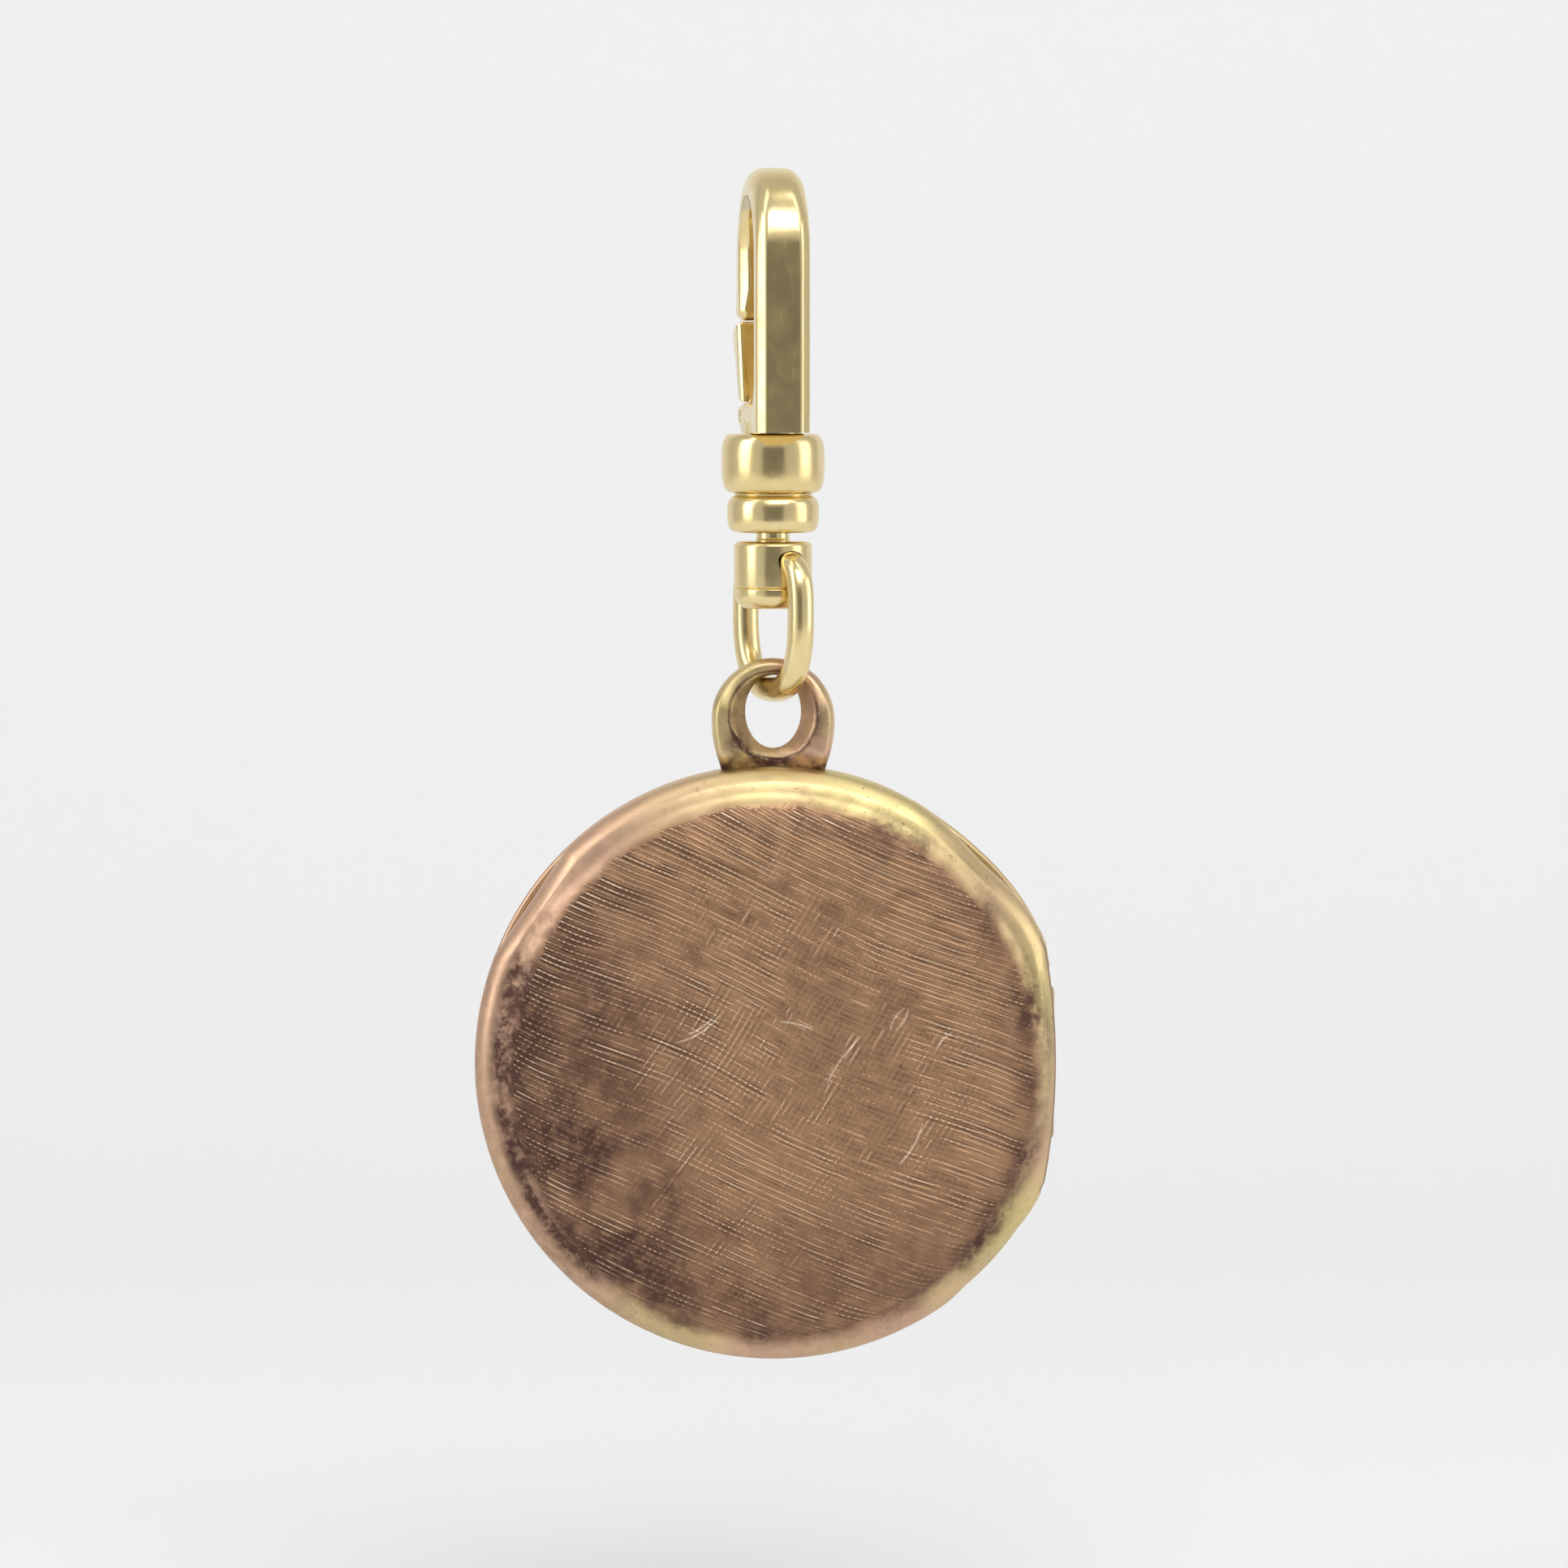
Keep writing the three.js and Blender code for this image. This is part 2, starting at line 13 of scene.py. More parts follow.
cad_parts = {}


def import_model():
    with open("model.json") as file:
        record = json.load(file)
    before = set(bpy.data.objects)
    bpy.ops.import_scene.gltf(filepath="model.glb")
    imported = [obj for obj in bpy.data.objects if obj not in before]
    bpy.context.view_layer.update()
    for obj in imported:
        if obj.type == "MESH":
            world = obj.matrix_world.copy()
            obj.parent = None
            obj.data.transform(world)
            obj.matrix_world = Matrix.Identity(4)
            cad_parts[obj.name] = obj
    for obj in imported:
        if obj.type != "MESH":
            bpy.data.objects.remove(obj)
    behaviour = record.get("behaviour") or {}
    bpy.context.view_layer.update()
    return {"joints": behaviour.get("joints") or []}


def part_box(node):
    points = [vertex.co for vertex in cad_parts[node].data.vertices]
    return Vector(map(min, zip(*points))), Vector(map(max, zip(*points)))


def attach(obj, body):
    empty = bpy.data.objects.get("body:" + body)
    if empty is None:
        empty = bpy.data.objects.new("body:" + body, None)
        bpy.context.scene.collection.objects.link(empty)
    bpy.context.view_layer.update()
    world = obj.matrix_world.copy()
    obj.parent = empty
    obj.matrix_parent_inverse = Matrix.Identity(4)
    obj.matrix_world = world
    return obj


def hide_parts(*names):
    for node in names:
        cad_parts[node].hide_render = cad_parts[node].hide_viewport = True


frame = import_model()
scene = bpy.context.scene
MM = 0.001
LINE_VARIETY = 3.71  # step in the noise from one engraved line to the next
SAME_POINT = 0.0005  # millimetres


class Extent:
    """A CAD node's box at rest, in millimetres."""

    def __init__(self, node):
        low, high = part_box(node)
        self.low = Vector(low) / MM
        self.high = Vector(high) / MM
        self.centre = (self.low + self.high) / 2
        self.size = self.high - self.low


def joint_place(name):
    """A joint's axis and its point in millimetres."""
    joint = next(j for j in frame["joints"] if j["name"] == name)
    return Vector(joint["axis"]).normalized(), Vector(joint["pos_m"]) / MM


# ---- small maths

def clamp(value, low=0.0, high=1.0):
    return max(low, min(high, value))


def ease(low, high, value):
    """0 below low, 1 above high and smooth between."""
    part = clamp((value - low) / (high - low))
    return part * part * (3 - 2 * part)


def hump(centre, width, value):
    """1 at centre, falling smoothly to 0 at width away."""
    return 1 - ease(0, width, abs(value - centre))


def angle_apart(a, b):
    """The smallest turn between two angles in degrees."""
    return abs((a - b + 180) % 360 - 180)


def cloud(x, y, z, size, seed=0.0):
    """Smooth noise of about -1 to 1 whose features measure size millimetres."""
    return noise.noise(Vector((x / size + seed, y / size - seed, z / size + 2 * seed)))


def full_turn(count):
    """Equally spaced angles round a circle."""
    return [2 * pi * index / count for index in range(count)]


def corner_arc(before, here, after, reach, steps):
    """Points that round one corner of a polyline."""
    start = here + (before - here).normalized() * reach
    end = here + (after - here).normalized() * reach
    points = []
    for step in range(steps + 1):
        t = step / steps
        points.append(start * (1 - t) ** 2 + here * (2 * t * (1 - t)) + end * t ** 2)
    return points


def rounded_profile(points, steps=6):
    """Polyline of (a, b, corner radius) points with each corner as a short arc."""
    result = []
    for index, (a, b, radius) in enumerate(points):
        here = Vector((a, b))
        first_or_last = index in (0, len(points) - 1)
        if radius <= 0 or first_or_last:
            result.append((a, b))
            continue
        before = Vector(points[index - 1][:2])
        after = Vector(points[index + 1][:2])
        result += [(point.x, point.y) for point in corner_arc(before, here, after, radius, steps)]
    return result


def rod_profile(low, high, radius, corner, steps=6):
    """Profile of a solid rod or disc with rounded edges."""
    return rounded_profile([(0, low, 0), (radius, low, corner), (radius, high, corner), (0, high, 0)], steps)


def tube_profile(bore, low, high, radius, low_corner, high_corner, steps=6):
    """Closed profile of a tube or washer with rounded outer edges."""
    corners = [(bore, low, 0), (radius, low, low_corner), (radius, high, high_corner), (bore, high, 0)]
    profile = rounded_profile(corners, steps)
    return profile + profile[:1]


# ---- mesh building

def new_piece(name, vertices, faces, materials, smooth=True):
    """A mesh object from millimetre vertices."""
    mesh = bpy.data.meshes.new(name)
    mesh.from_pydata([tuple(v) for v in vertices], [], faces)
    piece = bpy.data.objects.new(name, mesh)
    scene.collection.objects.link(piece)
    for material in materials:
        mesh.materials.append(material)
    if smooth:
        mesh.polygons.foreach_set("use_smooth", [True] * len(mesh.polygons))
    mesh.update()
    return piece


def settle(piece, body, slot, nodes):
    """Scales a finished piece to metres and ties it to its body and CAD nodes; slot is not used."""
    piece.data.transform(Matrix.Scale(MM, 4))
    piece.data.update()
    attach(piece, body)
    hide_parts(*nodes)


def loft(rings, closed_path=False, caps=True):
    """Faces and vertices of a skin over equal rings of points; each ring is closed."""
    count = len(rings[0])
    vertices = [point for ring in rings for point in ring]
    faces = []
    spans = len(rings) if closed_path else len(rings) - 1
    for row in range(spans):
        here = row * count
        ahead = ((row + 1) % len(rings)) * count
        for side in range(count):
            beside = (side + 1) % count
            faces.append((here + side, here + beside, ahead + beside, ahead + side))
    if caps and not closed_path:
        faces.append(tuple(reversed(range(count))))
        last = (len(rings) - 1) * count
        faces.append(tuple(range(last, last + count)))
    return vertices, faces


@contextmanager
def editing(piece):
    """An editable copy of a piece's mesh that is written back at the end."""
    mesh = bmesh.new()
    mesh.from_mesh(piece.data)
    yield mesh
    mesh.to_mesh(piece.data)
    mesh.free()


def face_outwards(piece):
    """Makes a closed mesh's faces point out and joins doubled points."""
    with editing(piece) as mesh:
        bmesh.ops.remove_doubles(mesh, verts=mesh.verts, dist=SAME_POINT)
        bmesh.ops.recalc_face_normals(mesh, faces=mesh.faces)
    return piece


def skin(name, rings, materials, smooth=True, **ends):
    """A piece made of one skin over equal rings of points."""
    vertices, faces = loft(rings, **ends)
    return face_outwards(new_piece(name, vertices, faces, materials, smooth))


def turned_piece(name, profile, materials, segments=96, centre=(0, 0)):
    """Solid of revolution about Z; profile is (radius, z) points that end on the axis or close."""
    closed = (Vector(profile[0]) - Vector(profile[-1])).length < 1e-6
    if closed:
        profile = profile[:-1]
    x, y = centre
    rings = [
        [(x + radius * cos(angle), y + radius * sin(angle), z) for angle in full_turn(segments)]
        for radius, z in profile
    ]
    return skin(name, rings, materials, closed_path=closed, caps=False)


def turned_part(node, shape, body, slot, profile, material, segments=96, centre=(0, 0)):
    """A finished solid of revolution in place of one CAD node."""
    piece = turned_piece(f"{node}_{shape}", profile, [material], segments, centre)
    settle(piece, body, slot, [node])


def carve(piece, cutter, operation="DIFFERENCE"):
    """Boolean with a throwaway cutter object."""
    modifier = piece.modifiers.new("boolean", "BOOLEAN")
    modifier.object = cutter
    modifier.operation = operation
    modifier.solver = "EXACT"
    bpy.context.view_layer.update()
    seen = piece.evaluated_get(bpy.context.evaluated_depsgraph_get())
    finished = bpy.data.meshes.new_from_object(seen)
    old = piece.data
    piece.modifiers.clear()
    piece.data = finished
    bpy.data.meshes.remove(old)
    bpy.data.objects.remove(cutter)


def box_cutter(low, high):
    corners = [(x, y, z) for x in (low[0], high[0]) for y in (low[1], high[1]) for z in (low[2], high[2])]
    faces = [(0, 1, 3, 2), (4, 6, 7, 5), (0, 4, 5, 1), (2, 3, 7, 6), (0, 2, 6, 4), (1, 5, 7, 3)]
    return new_piece("cutter", corners, faces, [], smooth=False)


def rod_cutter(radius, start, end, segments=64):
    """Cylinder between two points."""
    start, end = Vector(start), Vector(end)
    along = (end - start).normalized()
    side = along.orthogonal().normalized()
    other = along.cross(side)
    turns = full_turn(segments)
    rings = [
        [centre + radius * (side * cos(t) + other * sin(t)) for t in turns]
        for centre in (start, end)
    ]
    return skin("cutter", rings, [], smooth=False)


# ---- materials

class Shader:
    """A material's node tree with short ways to add and join nodes."""

    def __init__(self, name):
        self.material = bpy.data.materials.new(name)
        self.material.use_nodes = True
        self.nodes = self.material.node_tree.nodes
        self.links = self.material.node_tree.links
        self.surface = self.nodes["Principled BSDF"]
        self.place = self.nodes.new("ShaderNodeTexCoord").outputs["Object"]

    def feed(self, socket, value):
        if isinstance(value, bpy.types.NodeSocket):
            self.links.new(value, socket)
        elif isinstance(value, (tuple, list)) and len(value) == 3 and socket.type == "RGBA":
            socket.default_value = (*value, 1.0)
        else:
            socket.default_value = value

    def math(self, operation, *values, clamp_result=False):
        node = self.nodes.new("ShaderNodeMath")
        node.operation = operation
        node.use_clamp = clamp_result
        for socket, value in zip(node.inputs, values):
            self.feed(socket, value)
        return node.outputs[0]

    def times(self, a, b):
        return self.math("MULTIPLY", a, b)

    def plus(self, a, b):
        return self.math("ADD", a, b)

    def minus(self, a, b):
        return self.math("SUBTRACT", a, b)

    def mix(self, factor, a, b):
        node = self.nodes.new("ShaderNodeMix")
        node.data_type = "RGBA"
        self.feed(node.inputs["Factor"], factor)
        self.feed(node.inputs[6], a)
        self.feed(node.inputs[7], b)
        return node.outputs[2]

    def ramp(self, value, low, high, out_low=0.0, out_high=1.0):
        """Smooth step of value from low..high to out_low..out_high."""
        node = self.nodes.new("ShaderNodeMapRange")
        node.interpolation_type = "SMOOTHSTEP"
        for key, number in zip(("From Min", "From Max", "To Min", "To Max"), (low, high, out_low, out_high)):
            node.inputs[key].default_value = number
        self.feed(node.inputs["Value"], value)
        return node.outputs[0]

    def attribute(self, name):
        node = self.nodes.new("ShaderNodeAttribute")
        node.attribute_name = name
        return node.outputs["Fac"]

    def placed(self, turn=(0, 0, 0), stretch=(1, 1, 1)):
        """The place on the object, turned and stretched."""
        node = self.nodes.new("ShaderNodeMapping")
        node.inputs["Rotation"].default_value = turn
        node.inputs["Scale"].default_value = stretch
        self.links.new(self.place, node.inputs["Vector"])
        return node.outputs[0]

    def noise_over(self, vector, scale, detail, roughness=0.5):
        node = self.nodes.new("ShaderNodeTexNoise")
        for key, number in (("Scale", scale), ("Detail", detail), ("Roughness", roughness)):
            node.inputs[key].default_value = number
        self.links.new(vector, node.inputs["Vector"])
        return node.outputs["Fac"]

    def noise(self, size_mm, detail=3.0, roughness=0.55, stretch=(1, 1, 1)):
        """Noise whose features measure about size_mm."""
        return self.noise_over(self.placed(stretch=stretch), 1 / (size_mm * MM), detail, roughness)

    def segments(self, turn, number, length_mm):
        """Noise along a line's direction that differs from one numbered line to the next."""
        parts = self.nodes.new("ShaderNodeSeparateXYZ")
        self.links.new(self.placed((0, turn, 0)), parts.inputs[0])
        joined = self.nodes.new("ShaderNodeCombineXYZ")
        self.feed(joined.inputs[0], self.times(parts.outputs[0], 1 / (length_mm * MM)))
        self.feed(joined.inputs[1], self.times(number, LINE_VARIETY))
        return self.noise_over(joined.outputs[0], 1.0, 2.0)

    def scratches(self, size_mm, turn, thin=0.03):
        """Sparse hairlines: the zero lines of a long stretched noise, 1 on a line and 0 off it."""
        field = self.noise_over(self.placed(turn, (1, 1, 0.12)), 1 / (size_mm * MM), 1.0)
        off_line = self.math("ABSOLUTE", self.minus(field, 0.5))
        return self.ramp(off_line, 0.0, thin, 1.0, 0.0)

    def curved_line(self, middle, turn, length, bend):
        """1 along one thin curved line, round a place on the covers, that fades at its ends."""
        cosine, sine = cos(turn), sin(turn)
        parts = self.nodes.new("ShaderNodeSeparateXYZ")
        self.links.new(self.place, parts.inputs[0])
        across = self.minus(self.math("DIVIDE", parts.outputs[0], MM), middle[0])
        up = self.minus(self.math("DIVIDE", parts.outputs[2], MM), middle[1] + LOCKET_Z)
        along = self.plus(self.times(across, cosine), self.times(up, sine))
        off = self.minus(self.times(up, cosine), self.times(across, sine))
        share = self.math("POWER", self.math("ABSOLUTE", self.times(along, 2 / length)), 2.0)
        curve = self.times(self.minus(1.0, share), bend)
        away = self.math("ABSOLUTE", self.minus(off, curve))
        ends = self.ramp(share, 0.3, 1.0, 1.0, 0.0)
        line = self.times(self.ramp(away, 0.02, 0.07, 1.0, 0.0), ends)
        return self.times(line, self.math("LESS_THAN", parts.outputs[1], 0.0))

    def bump(self, height, depth_mm, normal=None):
        node = self.nodes.new("ShaderNodeBump")
        node.inputs["Strength"].default_value = 1.0
        node.inputs["Distance"].default_value = depth_mm * MM
        self.feed(node.inputs["Height"], height)
        if normal is not None:
            self.links.new(normal, node.inputs["Normal"])
        return node.outputs[0]

    def finish(self, **sockets):
        for key, value in sockets.items():
            self.feed(self.surface.inputs[key.replace("_", " ")], value)
        return self.material


def polished_gold():
    """Pale yellow plated gold: bright, with faint rub marks and a few hairlines."""
    s = Shader("polished_gold")
    clouds = s.noise(1.6, detail=4)
    fine = s.noise(0.12, detail=2)
    lines = s.scratches(0.5, (0.4, 0.2, 0.9))
    color = s.mix(s.ramp(clouds, 0.35, 0.7), PALE_GOLD, PALE_GOLD_SHADE)
    roughness = s.plus(s.ramp(clouds, 0.3, 0.75, 0.17, 0.27), s.times(lines, 0.03))
    height = s.minus(s.times(fine, 0.35), s.times(lines, 0.10))
    waves = s.bump(s.noise(1.1, detail=1), 0.012)
    return s.finish(
        Base_Color=color, Metallic=1.0, Roughness=roughness, Normal=s.bump(height, 0.0012, waves)
    )


def worn_gold(name, hatched):
    """Rose-brown gold filling. Vertex masks say where it is rim, green gold or cut, and where it is
    tarnished or darkened with painted shade.
    """
    s = Shader(name)
    tarnish_and_shade = s.attribute("tarnish_and_shade")
    green = s.attribute("green")
    rim = s.attribute("rim")
    clouds = s.noise(1.3, detail=5, roughness=0.65)
    grain = s.noise(0.16, detail=3, roughness=0.7)
    pits = s.ramp(s.noise(0.22, detail=1), 0.70, 0.76)
    spots = s.ramp(s.noise(0.5, detail=4, roughness=0.7), 0.62, 0.72)
    smooth_color = s.mix(green, ROSE_RIM, GREEN_RIM)
    color = s.mix(rim, s.mix(s.ramp(clouds, 0.3, 0.7), FIELD_DARK, FIELD_LIGHT), smooth_color)
    grime = s.noise(0.55, detail=6, roughness=0.7)
    # dirt here follows the tarnish mask, so it darkens with tarnish and with painted shade alike
    dirt_and_shade = s.math("MULTIPLY", tarnish_and_shade, s.ramp(grime, 0.30, 0.62, 0.55, 1.12), clamp_result=True)
    color = s.mix(dirt_and_shade, color, TARNISH_AND_SHADE)
    color = s.mix(s.times(spots, 0.35), color, TARNISH_AND_SHADE)
    color = s.mix(s.times(pits, s.times(green, 0.6)), color, PIT)
    roughness = s.plus(s.ramp(clouds, 0.3, 0.7, 0.30, 0.42), s.times(dirt_and_shade, 0.22))
    height = s.minus(s.times(grain, 0.5), s.times(pits, green))
    normal = s.bump(height, 0.004, s.bump(s.noise(2.2, detail=2), 0.03))
    if hatched:
        cut = hatch(s, normal)
        # dark troughs beside the cut lines: tarnish in the cut and painted shade
        color = s.mix(cut["groove"], color, GROOVE_TARNISH_AND_SHADE)
        ridge_highlight = s.times(cut["ridge_highlight"], s.minus(1.0, s.times(dirt_and_shade, 0.45)))
        # painted highlight along the cut ridges
        color = s.mix(ridge_highlight, color, RIDGE_HIGHLIGHT)
        for scratch in SCRATCHES:
            color = s.mix(s.times(s.curved_line(*scratch), 0.50), color, BRIGHT)
        normal = cut["normal"]
    return s.finish(Base_Color=color, Metallic=1.0, Roughness=roughness, Normal=normal)


def hatch(s, normal):
    """Two crossing sets of engraved lines; the mesh carries each set's phase, reach and strength.

    Every line has its own brightness and its own broken stretches. Where the sets cross,
    the main lines turn into rows of beads. The ridges' lighter colour is a painted highlight;
    the dark troughs beside them are partly tarnish in the cut and partly painted shade.
    """
    field = s.attribute("field")
    ridges = {}
    grooves = {}
    profiles = {}
    for set_name, turn in (("a", HATCH_TURN), ("b", CROSS_TURN)):
        phase = s.attribute("phase_" + set_name)
        number = s.math("FLOOR", phase)
        random = s.nodes.new("ShaderNodeTexWhiteNoise")
        random.noise_dimensions = "1D"
        s.links.new(number, random.inputs["W"])
        chance = random.outputs["Value"]
        off = s.minus(s.math("FRACT", phase), 0.5)
        off = s.plus(off, s.times(s.minus(chance, 0.5), 0.22))
        away = s.math("ABSOLUTE", off)
        profiles[set_name] = s.ramp(away, 0.08, 0.24, 1.0, 0.0)
        trough = s.ramp(s.math("ABSOLUTE", s.minus(away, 0.34)), 0.04, 0.16, 1.0, 0.0)
        broken = s.ramp(s.segments(turn, number, LINE_LENGTH[set_name]), 0.40, 0.56)
        edge = s.minus(field, s.times(chance, 0.6))
        weight = s.times(s.ramp(edge, 0.02, 0.30), s.attribute("cut_" + set_name))
        weight = s.times(weight, s.plus(0.40, s.times(broken, 0.60)))
        weight = s.times(weight, s.plus(0.50, s.times(chance, 0.65)))
        ridges[set_name] = weight
        grooves[set_name] = s.times(trough, weight)
    beading = s.ramp(s.noise(2.2, detail=2), 0.36, 0.54)
    gaps = s.minus(1.0, profiles["b"])
    beads = s.minus(1.0, s.times(s.times(beading, gaps), 0.60))
    main = s.times(s.times(profiles["a"], ridges["a"]), beads)
    cross = s.times(profiles["b"], ridges["b"])
    height = s.math("MAXIMUM", main, cross)
    height = s.plus(height, s.times(s.times(main, cross), 0.6))
    low = s.math("MAXIMUM", grooves["a"], grooves["b"])
    height = s.minus(height, s.times(low, 0.5))
    return {
        "normal": s.bump(height, 0.045, normal),
        "groove": s.ramp(low, 0.12, 1.1, 0.0, 0.95),
        "ridge_highlight": s.ramp(height, 0.22, 1.45, 0.0, 1.0),
    }


def satin_gold():
    """Inner frames and snap rim: yellow gold, satin, less worn than the outside."""
    s = Shader("satin_gold")
    brushed = s.noise(0.1, detail=3, stretch=(1, 8, 1))
    color = s.mix(s.ramp(s.noise(1.8, detail=4), 0.35, 0.7), INNER_GOLD, INNER_SHADE)
    roughness = s.ramp(brushed, 0.3, 0.7, 0.24, 0.36)
    return s.finish(Base_Color=color, Metallic=1.0, Roughness=roughness, Normal=s.bump(brushed, 0.003))


def bright_steel():
    s = Shader("bright_steel")
    drawn = s.noise(0.06, detail=2, stretch=(1, 1, 6))
    color = s.mix(s.ramp(s.noise(0.5), 0.4, 0.7), STEEL_LIGHT, STEEL_DARK)
    roughness = s.ramp(drawn, 0.3, 0.7, 0.22, 0.34)
    return s.finish(Base_Color=color, Metallic=1.0, Roughness=roughness, Normal=s.bump(drawn, 0.001))


def celluloid():
    """Clear thin window, lightly scuffed."""
    s = Shader("celluloid")
    scuffs = s.scratches(0.8, (0.2, 0.9, 0.3), thin=0.015)
    haze = s.ramp(s.noise(3.0, detail=4), 0.35, 0.7, 0.05, 0.14)
    roughness = s.plus(haze, s.times(scuffs, 0.3))
    return s.finish(
        Base_Color=CLEAR_TINT, Roughness=roughness, IOR=1.5, Transmission_Weight=1.0,
        Normal=s.bump(scuffs, 0.002),
    )


def photo_card():
    """Blank cream card with a faint fibre and foxing at random."""
    s = Shader("photo_card")
    fibre = s.noise(0.15, detail=4, roughness=0.7)
    foxing = s.ramp(s.noise(2.5, detail=5), 0.58, 0.75)
    color = s.mix(s.ramp(fibre, 0.3, 0.7), CARD_LIGHT, CARD_DARK)
    color = s.mix(s.times(foxing, 0.4), color, FOXING)
    return s.finish(Base_Color=color, Roughness=0.85, Normal=s.bump(fibre, 0.02))


HATCH_TURN = radians(-23)  # the main lines run down to the right
CROSS_TURN = radians(56)
LINE_LENGTH = {"a": 2.6, "b": 0.9}  # typical unbroken stretch, millimetres
PALE_GOLD = (0.83, 0.68, 0.36)
PALE_GOLD_SHADE = (0.78, 0.62, 0.30)
ROSE_RIM = (0.66, 0.43, 0.29)
GREEN_RIM = (0.70, 0.58, 0.27)
FIELD_LIGHT = (0.435, 0.262, 0.148)
FIELD_DARK = (0.345, 0.20, 0.115)
# dark colour of tarnish, also used for painted shade
TARNISH_AND_SHADE = (0.105, 0.056, 0.044)
PIT = (0.06, 0.035, 0.02)
# colour of the troughs: tarnish and painted shade
GROOVE_TARNISH_AND_SHADE = (0.10, 0.055, 0.038)
# painted highlight colour of the cut ridges
RIDGE_HIGHLIGHT = (0.92, 0.70, 0.52)
INNER_GOLD = (0.74, 0.56, 0.27)
INNER_SHADE = (0.60, 0.43, 0.20)
BRIGHT = (0.95, 0.76, 0.60)
STEEL_LIGHT = (0.60, 0.60, 0.58)
STEEL_DARK = (0.42, 0.41, 0.39)
CARD_LIGHT = (0.72, 0.64, 0.50)
CARD_DARK = (0.62, 0.53, 0.39)
FOXING = (0.42, 0.29, 0.16)
CLEAR_TINT = (0.98, 0.96, 0.90)
LOCKET_Z = Extent("back_case").centre.z

# bright scratches on the covers: middle from the locket's centre, turn, length, bend
SCRATCHES = [
    ((-3.8, 2.05), radians(32), 3.0, -0.32), ((-3.6, 2.15), radians(35), 1.6, -0.10),
    ((6.2, 2.45), radians(58), 1.5, 0.16), ((6.4, 2.5), radians(60), 1.4, -0.16),
    ((1.2, 2.1), radians(-14), 1.9, 0.14), ((6.8, -3.8), radians(60), 2.7, -0.22),
    ((3.6, 0.4), radians(54), 3.4, 0.20), ((8.6, 1.4), radians(48), 1.2, 0.12),
]

GOLD = polished_gold()
# the worn gold materials carry painted shade through their tarnish mask
HATCHED = worn_gold("worn_gold_hatched_and_shade", True)
WORN_AND_SHADE = worn_gold("worn_gold_plain_and_shade", False)
SATIN = satin_gold()
STEEL = bright_steel()
CLEAR = celluloid()
CARD = photo_card()

# ---- the two covers

case_box = Extent("back_case")
knuckle_box = Extent("back_knuckle_3")
LOCKET_RADIUS = case_box.size.z / 2
HINGE = joint_place("lid_hinge")[1]
KNUCKLE = knuckle_box.size.y / 2
HINGE_HALF = Extent("hinge_pin").size.z / 2
FIELD_GRID_RADIUS = 0.887 * LOCKET_RADIUS
HATCH_PITCH = 0.29
HATCH_RELIEF = 0.016
PHASE_START = 200  # keeps the line counts above zero
GRID_ACROSS = 400  # rows of points across the main lines
GRID_ALONG = 140
NOTCH_ANGLE = 146
NOTCH_FLAT = 14.64  # distance of the nail notch's flat from the middle
BACK_DENTS = [(45, 17, 0.40), (318, 14, 0.26)]  # angle, reach in degrees and depth
LID_DENTS = [(52, 20, 0.12), (250, 25, 0.06)]
FIELD_MIDDLE = (0.10, -0.30)
FIELD_HALF_WIDTH = 13.15
FIELD_HALF_HEIGHT = 13.5
FIELD_REACH = 13.2  # scales the share of the field into millimetres
HINGE_WALL_X = 13.45
BEYOND_RIM = 16.0
HINGE_SIDE_X = 14.3
HINGE_SIDE_BOW = 32
FIELD_SHIFT = Vector((0.32, -0.30))  # the pillow sits a little off the rim's centre
VALLEY_ANGLE = 190  # where the bead stands clear of the pillow; elsewhere the valley is filled
VALLEY_FILL = 0.13

# outside of a half from the field grid's edge to the parting plane: radius, depth
PILLOW = [
    (0.0, 2.74), (6.0, 2.72), (10.0, 2.64), (11.6, 2.54), (12.4, 2.41), (13.0, 2.19),
    (13.45, 1.88), (13.75, 1.64), (14.0, 1.50), (14.25, 1.45), (14.5, 1.34), (14.75, 1.12),
    (14.92, 0.85), (14.98, 0.55), (14.97, 0.25), (14.9, 0.06), (14.8, 0.03),
]
# inside of a half from its lip to the middle
INSIDE = [
    (14.55, 0.03), (14.5, 0.3), (14.42, 0.78), (13.55, 1.28), (13.2, 1.62), (12.5, 2.22), (11.5, 2.32),
]
INSIDE_WEAR = {"rim": 1.0, "green": 0.8, "tarnish_and_shade": 0.12, "field": 0.0}
OUTWARD_POINTS = 12  # of PILLOW, those that the smooth depth is worked out from
WALL_END = 14.5


def pillow_depth(radius):
    """Depth of the outside at a radius, smooth through the PILLOW points."""
    radii = [point[0] for point in PILLOW[:OUTWARD_POINTS]]
    index = 0
    while index < len(radii) - 2 and radius > radii[index + 1]:
        index += 1
    r0, d0 = PILLOW[max(index - 1, 0)]
    r1, d1 = PILLOW[index]
    r2, d2 = PILLOW[index + 1]
    r3, d3 = PILLOW[min(index + 2, len(PILLOW) - 1)]
    t = (radius - r1) / (r2 - r1)
    slope1 = (d2 - d0) / max(r2 - r0, 1e-6) * (r2 - r1)
    slope2 = (d3 - d1) / max(r3 - r1, 1e-6) * (r2 - r1)
    t2, t3 = t * t, t * t * t
    start = (2 * t3 - 3 * t2 + 1) * d1 + (t3 - 2 * t2 + t) * slope1
    return start + (3 * t2 - 2 * t3) * d2 + (t3 - t2) * slope2


def hinge_side(angle, radius):
    """Flattens an outline in a shallow bow beside the hinge."""
    if angle_apart(angle, 0) > 40:
        return radius
    turn = radians(angle)
    steepness = max(math.tan(turn) ** 2 / HINGE_SIDE_BOW, 1e-9)
    reach = (sqrt(1 + 2 * HINGE_SIDE_X * steepness) - 1) / steepness
    return min(radius, reach / cos(turn))


